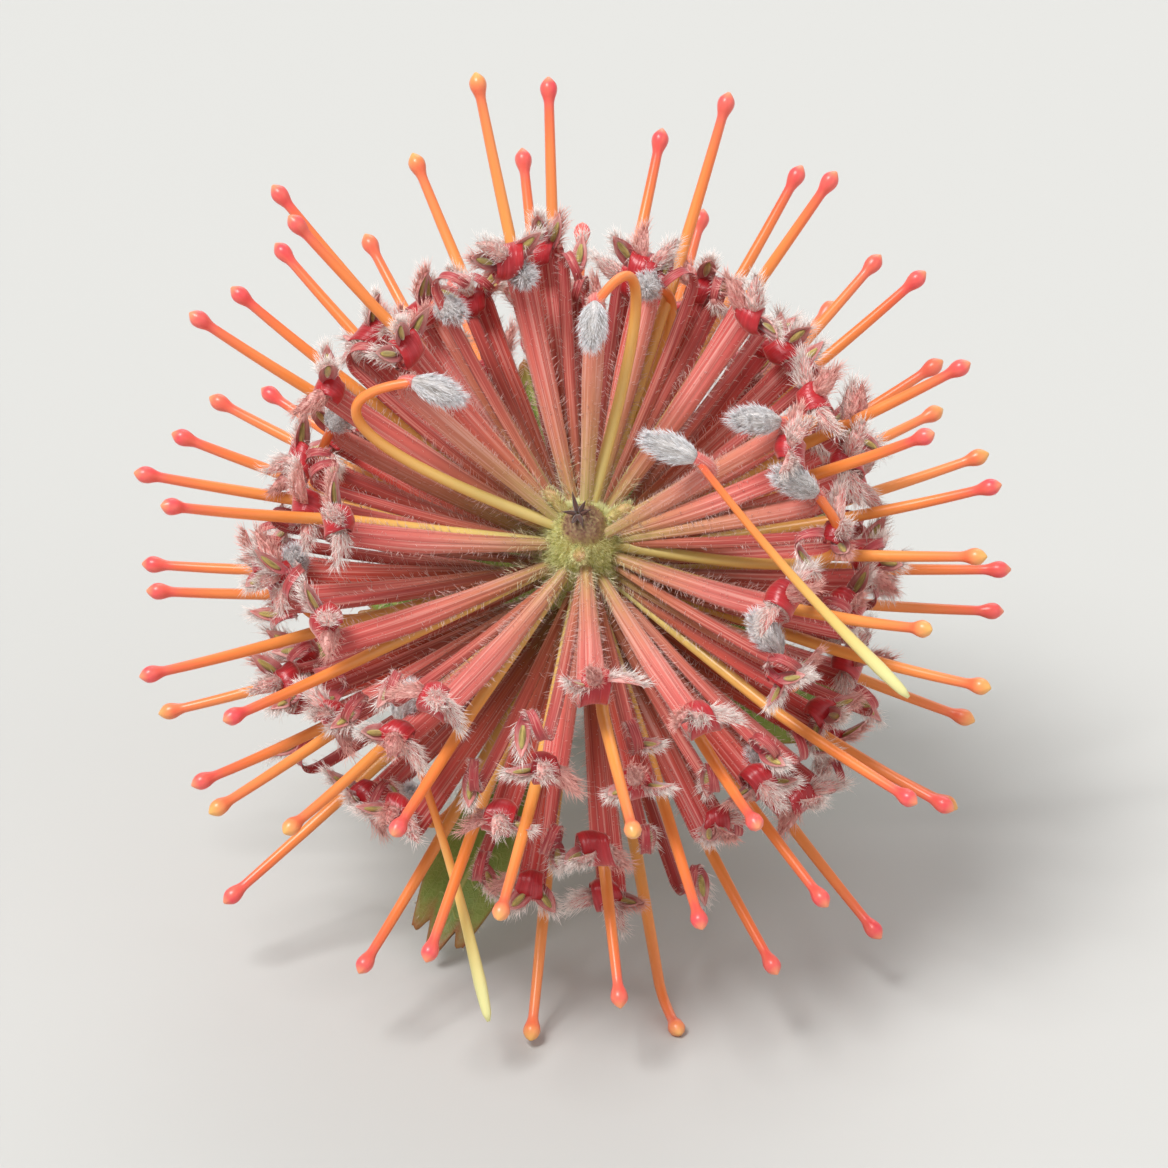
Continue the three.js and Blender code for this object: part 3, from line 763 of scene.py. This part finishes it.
def lobe(parts, foot, way, bend_to, length, half, key):
    """A spoon-shaped felted lobe with an anther on its hollow face."""
    s = column(np.linspace(0, 1, len(LOBE_SHAPE)))
    points = foot + way * length * s + bend_to * length * 0.3 * s**2
    face = np.cross(np.cross(way, bend_to), way)
    path = Path(points, np.tile(face, (len(s), 1)))
    radii = column(half * LOBE_SHAPE)
    back = np.stack([radii * LOBE_ARC, -radii * 0.7 * (1 - LOBE_ARC**2)], -1)
    front = np.stack([radii * LOBE_ARC, 0.06 - radii * 0.35 * (1 - LOBE_ARC**2)], -1)
    inner = np.repeat([0.0, 1.0], len(LOBE_ARC))
    parts["lobes"].rod(path, both_faces(back, front), key, (1.2, 2.0), "strip", inner=inner, along=s)
    middle = path.part(2, 2 + len(ANTHER_SHAPE))
    middle.points = middle.points - middle.through * 0.12
    parts["anthers"].rod(middle, rounds(ANTHER_SHAPE, 8, 0.6), key, (0.6, 1.0))
    hair_lobe(parts["brush" if key % 3 else "blush"], path, radii[:, 0])


def hair_lobe(hairs, path, radii):
    """Silky hairs on a lobe's back, which lie forwards and aside."""
    count = 200
    place = rng.uniform(1.2, 8.8, count)
    share = rng.uniform(-1, 1, count)
    point, tangent, across, through = path.at(place)
    reach = np.interp(place, np.arange(len(radii)), radii)
    root = point + across * column(reach * share) - through * column(reach * 0.68 * (1 - share**2))
    ways = tangent * 1.25 + across * column(share * 0.8) - through * column(0.8 - 0.5 * abs(share))
    ways += rng.normal(0, 0.26, (count, 3))
    hairs.add(root, ways, rng.uniform(1.0, 2.6, count), radius=0.036)


def sheath_lobes(parts, index, path):
    """The sheath's three lobes: they stand out of the ends of its roll and from under it, outwards."""
    middle = path.points[STRAIGHT_STEPS + 2 :].mean(0)
    start = STRAIGHT_STEPS
    out, side, front = path.tangent[start], path.across[start], path.through[start]
    for k in (-1, 0, 1):
        a, b, c = (draw(index, 24 + 3 * k + j) for j in range(3))
        if k:
            way = side * k * (0.8 + 0.3 * a) + out * (0.55 + 0.45 * b) + front * (0.15 + 0.4 * c)
            foot = middle + side * k * 0.7
        else:
            way = out * (0.8 + 0.2 * a) + side * 0.5 * b + front * (0.5 + 0.5 * c)
            foot = middle + out * 0.8 + front * 0.5
        way = unit(way)
        bend_to = unit(np.cross(np.cross(way, front * (1 if b > 0 else -1) + side * a), way))
        lobe(parts, foot, way, bend_to, LOBE_LENGTH + 0.8 * c, LOBE_HALF, 7 * index + k + 1)


def free_claw(parts, index, share, turn, lean, drift):
    """The fourth claw: a thin ribbon that stands beside the sheath and curls into its lobe."""
    r, z = rooted_at(share)
    straight = PERIANTH_LENGTH * vigour(turn) * (1.0 + 0.06 * draw(index, 40))
    rolled = (300 + 70 * draw(index, 41)) * DEGREE
    steps = even(straight, PERIANTH_BOW * 1.1, CLAW_STRAIGHT, drift)
    aside = drift + 0.3 * draw(index, 45)
    for k in range(CLAW_CURL):
        tighter = lerp(1.2, 0.6, k / (CLAW_CURL - 1))
        steps.append((CLAW_RADIUS * tighter * rolled / CLAW_CURL, rolled / CLAW_CURL, aside))
    start = lean + PERIANTH_BOW / 2 + (5 + 2 * draw(index, 43)) * DEGREE
    path = walk(on_head(turn, r, z - STYLE_BEHIND - 0.6), start, steps)
    wide = profile(len(steps) + 1, [0, 0.15, 0.3, 0.45, 1], [0.5, 0.85, 0.95, 0.75, 0.5])
    angle = all_round(14)
    half = column(wide)
    cup = half * (0.24 * np.sin(angle) - 0.45 * np.cos(angle) ** 2)
    section = np.stack([half * np.cos(angle), cup], -1)
    along = np.r_[np.linspace(0, 0.75, CLAW_STRAIGHT + 1), np.linspace(0.76, 1, CLAW_CURL)]
    parts["claws"].rod(path, section, index, (1.6, 4.0), along=column(along))
    hair_round(parts["coat"], path, wide, (1, 34), count=190, length=1.1, forward=0.7, radius=0.03, flat=0.1)
    way = unit(path.tangent[-1] + 0.5 * draw(index, 44) * path.across[-1])
    foot = path.points[-1] - way * 0.4
    lobe(parts, foot, way, path.through[-1], CLAW_LOBE_LENGTH, CLAW_LOBE_HALF, 3 * index + 700)


def style_tube(parts, index, share, turn, lean):
    """A style and the pollen presenter at its end."""
    length = STYLE_LENGTH * vigour(turn) * (1 + 0.04 * draw(index, 7))
    length *= 1 + STYLE_LONGER_AT_TOP * max(0, math.sin(turn)) ** 2
    r, z = rooted_at(share)
    start = lean + STYLE_BOW / 2 + STYLE_SPLAY + 0.035 * draw(index, 8)
    sway = 0.09 * draw(index, 9)
    late = 0.5 * sway + 0.07 * draw(index, 71)
    steps = even(length * 0.55, STYLE_BOW * 0.3, STYLE_STEPS, sway)
    bend = STYLE_BOW * (0.7 + 0.5 * draw(index, 72))
    steps += even(length * 0.45 - PRESENTER_LENGTH, bend, STYLE_STEPS, late)
    steps += even(PRESENTER_LENGTH, 0, len(PRESENTER_SHAPE), late)
    path = walk(on_head(turn, r, z - STYLE_BEHIND), start, steps, STYLE_CLEARANCE)
    stations = 2 * STYLE_STEPS + 1
    wire = profile(stations, [0, 0.2, 0.5, 0.75, 1], [0.7, 0.86, 0.86, 0.8, 0.7])
    section = rounds(np.r_[wire, PRESENTER_SHAPE], 10)
    along = np.r_[np.linspace(0, 0.93, stations), np.linspace(0.936, 1, len(PRESENTER_SHAPE))]
    tone = np.clip(0.35 + 0.75 * draw(index, 73), 0, 1)
    parts["styles"].rod(path, section, index, (0.8, 4.0), along=column(along), tone=tone)


def build_open_florets():
    parts = {name: Build(OPEN_FLORETS) for name in ("straps", "claws", "styles")}
    parts |= {name: Build(OPEN_FLORETS * 4) for name in ("lobes", "anthers")}
    parts |= {name: Hairs() for name in ("coat", "brush", "blush", "down")}
    inner = np.repeat([0.0, 1.0], len(RIBS))
    furrow = np.r_[FURROWS, 0 * RIBS]
    along = column(np.minimum(1, STRAP_T / 1.15))
    for (index, share, turn, lean), drift in zip(open_florets(), claw_drifts()):
        path, gutter = strap_path(index, share, turn, lean), Gutter(index)
        # Partly painted shade: florets further down the head lean to brick red for the shade and back light
        # among them; the draw adds a random tone.
        tone = np.clip(1.6 * (share - 0.42) + 0.7 * draw(index, 22), -1, 1)
        looks = {"along": along, "inner": inner, "furrow": furrow, "tone": tone, "deep": share}
        parts["straps"].rod(path, gutter.section(), index, (2.4, 3.0), "strip", **looks)
        hair_strap(parts["coat"], path, gutter)
        hair_foot(parts["down"], path)
        sheath_lobes(parts, index, path)
        free_claw(parts, index, share, turn, lean, drift)
        style_tube(parts, index, share, turn, lean)
    parts["straps"].make("perianth_sheaths", strap_material(), *ON_HEAD)
    parts["claws"].make("perianth_claws", claw_material(), *ON_HEAD)
    parts["lobes"].make("perianth_lobes", felt_material("lobe", "bf5652", "edc3b9", "a8303a"), *ON_HEAD)
    parts["anthers"].make("anthers", felt_material("anther", "7c6a2e", "c9b566"), *ON_HEAD)
    parts["styles"].make("styles", style_material(), *ON_HEAD)
    parts["coat"].make("sheath_hairs", hair_material("hair_pink", "f0d3cb"), *ON_HEAD)
    parts["brush"].make("lobe_hairs", hair_material("hair_white", "fff3ed"), *ON_HEAD)
    parts["blush"].make("lobe_hairs_pink", hair_material("hair_blush", "f4bdb2"), *ON_HEAD)
    parts["down"].make("foot_hairs", hair_material("hair_cream", "efe9c4"), *ON_HEAD)


# Closed florets.

BUD_STEPS, NECK_STEPS = 24, 12
STALK_STEPS = BUD_STEPS + NECK_STEPS
LIMB_SHAPE = np.array([0.95, 1.25, 1.5, 1.66, 1.74, 1.76, 1.72, 1.62, 1.45, 1.22, 0.92, 0.55, 0.15])


def closed_style(styles, index, path, aside, thrown):
    """A closed floret's style: bowed out behind or beside it, or thrown clear, its pale foot in the air."""
    s = column(np.linspace(0, 1, 40))
    top = path.points[STALK_STEPS]
    if thrown:
        way = RIGHT * thrown[0] + OVER * thrown[1] + FACE * thrown[2]
        bow = unit(np.cross(way, path.across[STALK_STEPS]))
        line = top + way * THROWN_LENGTH * s + bow * 1.8 * np.sin(math.pi * s)
        along = 0.95 - 1.05 * s
        radii = profile(len(s), [0, 0.6, 0.88, 0.97, 1], [0.5, 0.66, 0.92, 0.7, 0.25])
    else:
        foot = path.points[0]
        over = path.across[0] * aside
        b = foot + path.tangent[0] * LOOP_RISE - path.through[0] * LOOP_BEHIND - over * LOOP_EARLY
        c = top - path.tangent[STALK_STEPS] * LOOP_BACK - over * LOOP_LATE
        line = foot * (1 - s) ** 3 + 3 * b * s * (1 - s) ** 2 + 3 * c * s**2 * (1 - s) + top * s**3
        along = 0.1 + 0.78 * s
        radii = profile(len(s), [0, 0.3, 1], [0.85, 0.8, 0.66])
    line = Path(line, np.tile(path.through[0], (len(s), 1)))
    styles.rod(line, rounds(radii, 10), index + 80, (0.8, 3.0), along=along, tone=0.3)


def closed_path(index, turn, lean):
    """A closed floret's middle line: its tube, the neck and the limb that hangs from it."""
    steps = even(BUD_LENGTH * (1 + 0.05 * draw(index, 15)), BUD_BOW, BUD_STEPS)
    steps += even(NECK_LENGTH, NECK_BEND + NECK_SPREAD * draw(index, 13), NECK_STEPS)
    steps += even(LIMB_LENGTH, 0.12, len(LIMB_SHAPE) - 1)
    return walk(on_head(turn, *rooted_at(closed_share(lean))), lean + BUD_BOW / 2, steps)


def build_closed_florets():
    count = len(CLOSED_FLORETS)
    tubes, limbs, styles = Build(count), Build(count), Build(count)
    fur, coat = Hairs(), Hairs()
    stations = STALK_STEPS + 1
    along = column(np.linspace(0, 0.75, stations))
    radii = profile(stations, [0, 0.2, 0.45, 0.62, 0.8, 0.92, 1], [0.8, 1.0, 1.45, 1.5, 1.2, 0.95, 1.0])
    section = rounds(radii, 16, 0.85, grooves=4, depth=0.16)
    limb_section = rounds(LIMB_SHAPE, 20, grooves=4, depth=0.2)
    for index, (turn, lean, aside, thrown) in enumerate(CLOSED_FLORETS):
        path = closed_path(index, turn * DEGREE, lean * DEGREE)
        stalk, limb = path.part(0, stations), path.part(STALK_STEPS)
        tone = -0.8 + 0.2 * draw(index, 41)
        tubes.rod(stalk, section, index, (1.8, 3.0), along=along, tone=tone, **PLAIN)
        hair_round(
            coat, stalk, radii, (1.5, 35.9), count=520, length=0.85, forward=0.6, radius=0.03, flat=0.85
        )
        limbs.rod(limb, limb_section, index, (1.8, 1.6))
        hair_round(
            fur, limb, LIMB_SHAPE, (0.1, 11.8), count=760, length=2.0, forward=2.2, radius=0.036, spread=0.24
        )
        closed_style(styles, index, path, aside, thrown)
    tubes.make("closed_perianths", bpy.data.materials["perianth"], *ON_HEAD)
    limbs.make("closed_limbs", felt_material("limb", "8c8580", "dcd6d4"), *ON_HEAD)
    styles.make("closed_styles", bpy.data.materials["style"], *ON_HEAD)
    fur.make("limb_fur", hair_material("hair_silver", "f5f4f6"), *ON_HEAD)
    coat.make("closed_hairs", bpy.data.materials["hair_pink"], *ON_HEAD)


# The tip, the involucre, the stem and the leaves.

TIP_BRACTS, TIP_FLORETS = 6, 3
TIP_FLORET_SHAPE = [0.55, 0.7, 0.8, 0.85, 0.85, 0.85, 0.9, 0.95, 0.85, 0.6, 0.15]
STEM_STATIONS, STEM_CORNERS = 190, 40
CUT_RINGS = np.array([0.97, 0.9, 0.8, 0.6, 0.4, 0.25, 0.1, 0.02])  # how wide the rings on the cut are
LEAF_PLACES = 21  # on the stem, bare past the last leaf


def lathe(outline, stations, corners, lumps):
    """A grid turned about the head's axis, from an outline of (radius, height) from the front back, and the
    rounded outline's radii and heights."""
    outline = np.array(outline, float)
    steps = np.r_[0, np.cumsum(np.linalg.norm(np.diff(outline, axis=0), axis=1))]
    at = np.linspace(0, steps[-1], stations)
    r, z = np.maximum(0.03, np.interp(at, steps, outline[:, 0])), np.interp(at, steps, outline[:, 1])
    for _ in range(2):
        r[1:-1] = (r[:-2] + 2 * r[1:-1] + r[2:]) / 4
        z[1:-1] = (z[:-2] + 2 * z[1:-1] + z[2:]) / 4
    angle = -all_round(corners)
    wave = 1 + lumps * np.cos(8 * angle + column(at) * 1.1) * np.cos(13 * angle - column(at) * 1.4)
    ring = RIGHT * column(np.cos(angle)) + OVER * column(np.sin(angle))
    return HEAD_MIDDLE + ring * (column(r) * wave)[..., None] + FACE * z[:, None, None], (r, z)


def tip_roots(place, outline):
    """Where hairs stand on the tip, at places along its outline, and the ways out there."""
    turn = rng.uniform(0, 2 * math.pi, len(place))
    out = RIGHT * column(np.cos(turn)) + OVER * column(np.sin(turn))
    r, z = (column(np.interp(place, np.arange(len(line)), line)) for line in outline)
    return HEAD_MIDDLE + out * r + FACE * z, out


def hair_tip(coat, nap, outline):
    """A short coat round the tip, longer down its sides, and a shorter nap in its middle."""
    count = 4600
    near = count * 2 // 3
    place = np.r_[rng.uniform(8.5, 22, near), rng.uniform(8, 42, count - near)]
    root, out = tip_roots(place, outline)
    lift = column(np.interp(place, [0, 10, 42], [0.9, 0.8, 0.3]))
    lengths = np.interp(place, [8, 11, 20, 42], [0.6, 1.1, 1.7, 2.2]) * rng.uniform(0.6, 1.1, count)
    coat.add(root, out + FACE * lift + rng.normal(0, 0.3, (count, 3)), lengths, radius=0.033)
    count = 700
    root, out = tip_roots(rng.uniform(0.5, 9, count), outline)
    ways = out * 0.5 + FACE + rng.normal(0, 0.4, (count, 3))
    nap.add(root, ways, rng.uniform(0.25, 0.7, count), radius=0.03)


def build_tip_bracts():
    """The star of dark bracts on the tip."""
    star = Build(TIP_BRACTS)
    middle = on_head(140 * DEGREE, 1.1, 10.8)[0]
    for k in range(TIP_BRACTS):
        out = around(FACE, (59 * k + 24 * draw(k, 50)) * DEGREE)
        steps = even(2.1 + 1.1 * draw(k, 51), -60 * DEGREE * draw(k, 54), 6)
        path = walk((middle + out * 0.25, FACE, out), (62 + 16 * draw(k, 55)) * DEGREE, steps)
        star.rod(path, rounds([0.3, 0.36, 0.36, 0.3, 0.22, 0.12, 0.03], 6, 0.6), k, (1, 1))
    star.make("tip_bracts", felt_material("tip_bract", "2a120c", "5c3426"), *ON_HEAD)


def build_tip_florets(coat):
    """The tiny florets at the tip's edge, which have not grown."""
    small = Build(TIP_FLORETS)
    along = column(np.linspace(0, 0.16, len(TIP_FLORET_SHAPE)))
    for k in range(TIP_FLORETS):
        steps = even(4.4 + 1.6 * draw(k, 52), -8 * DEGREE, len(TIP_FLORET_SHAPE) - 1)
        place = on_head((262 + k * 118) * DEGREE, 3.0, 7.4)
        path = walk(place, (50 + 8 * draw(k, 53)) * DEGREE, steps)
        section = rounds(TIP_FLORET_SHAPE, 10, 0.9)
        small.rod(path, section, k + 90, (1, 1), along=along, tone=-1.0, **PLAIN)
        hair_round(coat, path, TIP_FLORET_SHAPE, (1, 9.9), count=300, length=1.0, forward=0.9, radius=0.03)
    small.make("tip_florets", bpy.data.materials["perianth"], *ON_HEAD)


def build_tip():
    """The club the florets stand on, its short-haired bare tip and what grows there."""
    core, coat, nap = Build(1), Hairs(), Hairs()
    stations = 70
    grid, outline = lathe(RECEPTACLE, stations, 80, 0.05)
    core.tube(grid, along=column(np.linspace(0, 1, stations)), grain=grid / 2)
    core.make("receptacle", tip_material(), *ON_HEAD)
    hair_tip(coat, nap, outline)
    build_tip_bracts()
    build_tip_florets(coat)
    coat.make("tip_hairs", hair_material("hair_lime", "f3f3b4"), *ON_HEAD)
    nap.make("tip_nap", hair_material("hair_brown", "9a6a60"), *ON_HEAD)


def build_involucre():
    core, bracts, coat = Build(1), Build(sum(count for *_, count in BRACT_ROWS)), Hairs()
    grid, _ = lathe(INVOLUCRE, 40, 48, 0.03)
    core.tube(grid, along=0.3, grain=grid / 2)
    stations = 15
    half = profile(stations, [0, 0.25, 0.5, 0.75, 0.9, 1], [1.2, 2.0, 2.3, 1.5, 0.7, 0.12])
    angle = all_round(16)
    across = column(half) * np.cos(angle)
    cup = 0.5 * np.cos(angle) ** 2
    through = column(0.25 + 0.1 * half) * np.sin(angle) + cup * column(half) * 0.5
    section = np.stack([across, through], -1)
    along = column(np.linspace(0, 1, stations))
    for row, (height, lean, count) in enumerate(BRACT_ROWS):
        for k in range(count):
            key = 10 * row + k
            turn = (k + row / 2) / count * 2 * math.pi + 0.1 * draw(key, 10)
            steps = even(BRACT_LENGTH, BRACT_BEND, stations - 1)
            path = walk(on_head(turn, BRACT_ROOT, height), lean, steps)
            bracts.rod(path, section, key, (2.0, 2.0), along=along)
            hair_round(
                coat, path, half, (2, 13.8), count=170, length=1.1, forward=0.8, radius=0.032, flat=0.35
            )
    material = bract_material()
    core.make("involucre_foot", material, "bracts", "involucre")
    bracts.make("involucre_bracts", material, "bracts", "involucre")
    coat.make("bract_hairs", bpy.data.materials["hair_cream"], "bracts", "involucre")


def leaf_turn(index, share):
    """A leaf's turn round the stem. The nearer the stem is to the surface, the more they are pushed up."""
    turn = LEAF_FIRST_TURN + index * GOLDEN_ANGLE
    from_top = math.atan2(math.cos(turn), math.sin(turn))
    return math.pi / 2 - from_top * (1 - LEAF_SQUEEZE * math.sqrt(share))


def leaf_stand(index):
    """Where a leaf stands: its share of the way along the leaves, its distance, the axis and its turn."""
    share = index / (LEAVES - 1)
    distance = LEAF_START + LEAF_SPACING * index
    dip = HEAD_TILT - distance / BEND_RADIUS
    return share, distance, np.array([0, -math.cos(dip), math.sin(dip)]), leaf_turn(index, share)


def leaf_path(index):
    share, distance, axis, turn = leaf_stand(index)
    out = around(axis, turn)
    lean = lerp(*LEAF_FOOT_LEANS, share) + LEAF_UPPER * math.sin(turn)
    opening = lerp(*LEAF_TIP_LEANS, share) - lerp(*LEAF_FOOT_LEANS, share)
    length = LEAF_LENGTH * (1 + LEAF_VARIES * draw(index, 96))
    sway = 0.08 * draw(index, 12)
    steps = even(length / 3, -opening * 0.6, LEAF_STEPS // 3, sway)
    steps += even(length * 2 / 3, -opening * 0.4, LEAF_STEPS * 2 // 3, sway)
    off = stem_radius(distance) + SEAT_GAP + LEAF_THICKNESS / 2
    return walk((stem_point(distance) + out * off, axis, out), lean, steps, LEAF_THICKNESS / 2)


def leaf_reach(u):
    """How far along its midrib a leaf reaches at u across it: three teeth, the middle one longest."""
    off = np.abs(u)
    return np.interp(off, [0, 0.5, 1], [1, 0.91, 0.945]) - 0.012 * np.cos(off * 4 * math.pi) + 0.006


def leaf_half_width(v):
    grown = np.sin(math.pi / 2 * np.clip(v, 0, LEAF_WIDEST) / LEAF_WIDEST) ** 1.5
    rise = LEAF_FOOT_HALF + (LEAF_HALF - LEAF_FOOT_HALF) * grown
    return rise * (1 - 0.38 * (np.clip(v - LEAF_WIDEST, 0, 1) / 0.4) ** 2)


def leaf_sheet(index, path):
    """A leaf's middle sheet: a grid of rows along it and columns across it, and its u and v."""
    rows, columns = LEAF_ROWS, LEAF_COLUMNS
    u = np.broadcast_to(np.linspace(-1, 1, columns), (rows, columns))
    v = np.broadcast_to(column(np.linspace(0, 1, rows)), (rows, columns))
    along = np.clip(v * leaf_reach(u) * LEAF_STEPS, 0, LEAF_STEPS)
    point, _, across, through = (a.reshape(rows, columns, 3) for a in path.at(along.ravel()))
    half = leaf_half_width(v)
    wave = 0.45 * np.sin(9 * v + 3 * draw(index, 60) + 1.2 * np.sign(u)) * u**2 * np.sin(math.pi * v)
    lift = LEAF_FOLD * half * np.sqrt(u**2 + 0.01) + wave
    return point + across * (u * half)[..., None] + through * lift[..., None], u, v


def build_leaf(index, material, coat):
    """A leaf's blade with its ribs, drawn in at its foot."""
    path = leaf_path(index)
    sheet, u, v = leaf_sheet(index, path)
    normal = unit(np.cross(np.gradient(sheet, axis=1), np.gradient(sheet, axis=0)))
    thick = 0.34 - 0.2 * np.abs(u) ** 3
    rib = np.exp(-((u / 0.09) ** 2)) * (1 - 0.75 * v)
    upper = sheet + normal * (thick - 0.16 * rib)[..., None]
    lower = sheet - normal * (thick + 0.45 * rib)[..., None]
    ring = both_faces(upper, lower)
    base = path.points[0] - path.tangent[0] * 1.4
    ring = np.concatenate([base + (ring[:1] - path.points[0]) * 0.8, ring])
    rows = np.r_[0, : len(sheet)]
    around_u, around_v = (both_faces(a, a)[rows] for a in (u, v))
    under = np.repeat([0.0, 1.0], LEAF_COLUMNS)
    leaf = Build(1)
    leaf.tube(ring, "strip", leaf_u=around_u, leaf_v=around_v, under=under, grain=ring)
    leaf.make(f"leaf_blade_{index + 1}", material, "leaf", f"leaf_{index + 1}")
    hair_leaf(coat, path, sheet, v)


def hair_leaf(coat, path, sheet, v):
    """Short hairs along a leaf's margin and on both faces of its foot."""
    count = 260
    row = rng.integers(4, LEAF_ROWS, count)
    edge = rng.choice([0, LEAF_COLUMNS - 1], count)
    station = np.clip((v[row, 0] * LEAF_STEPS).astype(int), 0, LEAF_STEPS)
    side = path.across[station] * column(np.sign(edge - 1))
    ways = side + path.tangent[station] * 0.8 + rng.normal(0, 0.3, (count, 3))
    coat.add(sheet[row, edge], ways, rng.uniform(0.4, 0.9, count), radius=0.028)
    count = 140
    point, tangent, across, through = path.at(rng.uniform(0, 7, count))
    ways = through * column(rng.choice([-1, 1], count)) + tangent * 0.6 + rng.normal(0, 0.4, (count, 3))
    root = point + across * column(rng.uniform(-1, 1, count))
    coat.add(root, ways, rng.uniform(0.5, 1.1, count), radius=0.028)


def scar_places():
    """Where leaves stand or stood: their distances and turns, on down past the last leaf."""
    places = []
    for index in range(LEAF_PLACES):
        if index < LEAVES:
            _, distance, _, turn = leaf_stand(index)
        else:
            distance, turn = LEAF_START + LEAF_SPACING * index, LEAF_FIRST_TURN + index * GOLDEN_ANGLE
        places.append((distance, turn, index >= LEAVES))
    return places


def ridged_stem(path, distances):
    """The stem's radius at each corner, with cushions under its leaves, and how deep in a scar that is."""
    angle, far = all_round(STEM_CORNERS), column(distances)
    waves = 1 + 0.02 * np.cos(5 * angle + far * 0.05) + 0.012 * np.sin(far * 0.9 + 3 * angle)
    radius = column(stem_radius(distances)) * waves
    scar = np.zeros_like(radius)
    side = path.across[:, None] * column(np.cos(angle)) + path.through[:, None] * column(np.sin(angle))
    for distance, turn, bare in scar_places():
        here = around(-path.tangent[np.abs(distances - distance).argmin()], turn)
        gap = np.arccos(np.clip(side @ here, -1, 1)) * 3.3
        lump = np.exp(-((gap / 1.7) ** 2) - (column(distances - distance) / 1.5) ** 2)
        radius += lump * (0.45 if bare else 0.6)
        if bare:
            scar = np.maximum(scar, np.exp(-((gap / 1.1) ** 4) - (column(distances - distance) / 0.8) ** 4))
    return np.minimum(radius, column(stem_radius(distances)) + 0.7), scar


def build_stem(coat):
    """The stem, with scars where lower leaves were pulled off, and its slanted cut."""
    distances = np.linspace(0, STEM_LENGTH, STEM_STATIONS)
    path = Path(stem_point(distances), np.tile(RIGHT, (STEM_STATIONS, 1)))
    radius, scar = ridged_stem(path, distances)
    angle = all_round(STEM_CORNERS)
    body = path.tube(np.stack([radius * np.cos(angle), radius * np.sin(angle)], -1))
    grid = np.concatenate([body, path.points[-1] + (body[-1] - path.points[-1]) * CUT_RINGS[:, None, None]])
    end = grid[STEM_STATIONS - 1 :]
    end[..., 1] -= STEM_SLANT * end[..., 2] / (2 * STEM_CUT_RADIUS)
    bark, rings = np.zeros(STEM_STATIONS), len(CUT_RINGS)
    scar = np.concatenate([scar, np.zeros((rings, STEM_CORNERS))])
    depth, cut = column(np.r_[bark, 1 - CUT_RINGS]), column(np.r_[bark, np.ones(rings)])
    stem = Build(1)
    stem.tube(grid, scar=scar, depth=depth, cut=cut, grain=grain_of(grid, 0, 6.0, 20.0))
    stem.make("stem_bark", stem_material(), "stem", "stem")
    hair_round(
        coat, path, radius.mean(1), (1, 110), count=1500, length=0.8, forward=-0.5, radius=0.028, spread=0.4
    )


def build_stem_and_leaves():
    material, coat = leaf_material(), Hairs()
    for index in range(LEAVES):
        build_leaf(index, material, coat)
    coat.make("leaf_hairs", hair_material("hair_leaf", "d9d8c4"), "leaf", "leaf_1")
    coat = Hairs()
    build_stem(coat)
    coat.make("stem_hairs", bpy.data.materials["hair_leaf"], "stem", "stem")


# The studio, in metres.

FLOOR_HALF = 10.0
CAMERA_DISTANCE, CAMERA_ELEVATION, CAMERA_LENS = 1.05, 28 * DEGREE, 235
AIM = np.array([0, -8, -1])  # from the head's middle, in millimetres


def lamp(name, place, softness, strength):
    """A far, soft lamp that shines from a place towards the flower."""
    data = bpy.data.lights.new(name, "SUN")
    data.angle, data.energy = softness * DEGREE, strength
    made = bpy.data.objects.new(name, data)
    made.location = place
    made.rotation_euler = (-Vector(place)).to_track_quat("-Z", "Y").to_euler()
    bpy.context.scene.collection.objects.link(made)


def surroundings():
    """Soft light from all round, palest at the height of the floor's edge."""
    world = bpy.data.worlds.new("studio")
    world.use_nodes = True
    nodes, links = world.node_tree.nodes, world.node_tree.links
    place = nodes.new("ShaderNodeTexCoord")
    height = nodes.new("ShaderNodeSeparateXYZ")
    links.new(place.outputs["Generated"], height.inputs[0])
    shade = nodes.new("ShaderNodeMapRange")
    for socket, value in {"From Min": 0.03, "From Max": 0.35, "To Min": 0.84, "To Max": 0.5}.items():
        shade.inputs[socket].default_value = value
    links.new(height.outputs["Z"], shade.inputs["Value"])
    nodes["Background"].inputs["Color"].default_value = (0.99, 0.98, 0.97, 1)
    links.new(shade.outputs["Result"], nodes["Background"].inputs["Strength"])
    bpy.context.scene.world = world


def studio():
    scene = bpy.context.scene
    scene.view_settings.view_transform = "Standard"
    surroundings()
    mesh = bpy.data.meshes.new("floor")
    corners = [(x * FLOOR_HALF, y * FLOOR_HALF, 0) for x, y in ((-1, -1), (1, -1), (1, 1), (-1, 1))]
    mesh.from_pydata(corners, [], [(0, 1, 2, 3)])
    mesh.materials.append(Shader("floor", "bdbdba", roughness=0.7).material)
    floor = bpy.data.objects.new("floor", mesh)
    scene.collection.objects.link(floor)
    lamp("key", (-0.4, -0.35, 0.95), softness=24, strength=3.1)
    lamp("fill", (0.8, -0.6, 0.6), softness=50, strength=0.35)
    lamp("back", (0.2, 0.9, 0.8), softness=40, strength=0.7)


def camera():
    """Looks down at the head from its front."""
    middle = (HEAD_MIDDLE + SHIFT + AIM) * MM
    back = np.array([0, -math.cos(CAMERA_ELEVATION), math.sin(CAMERA_ELEVATION)])
    data = bpy.data.cameras.new("camera")
    data.lens = CAMERA_LENS
    made = bpy.data.objects.new("camera", data)
    made.location = middle + CAMERA_DISTANCE * back
    made.rotation_euler = (math.pi / 2 - CAMERA_ELEVATION, 0, 0)
    bpy.context.scene.collection.objects.link(made)
    bpy.context.scene.camera = made


camera()
build_open_florets()
build_closed_florets()
build_tip()
build_involucre()
build_stem_and_leaves()
studio()
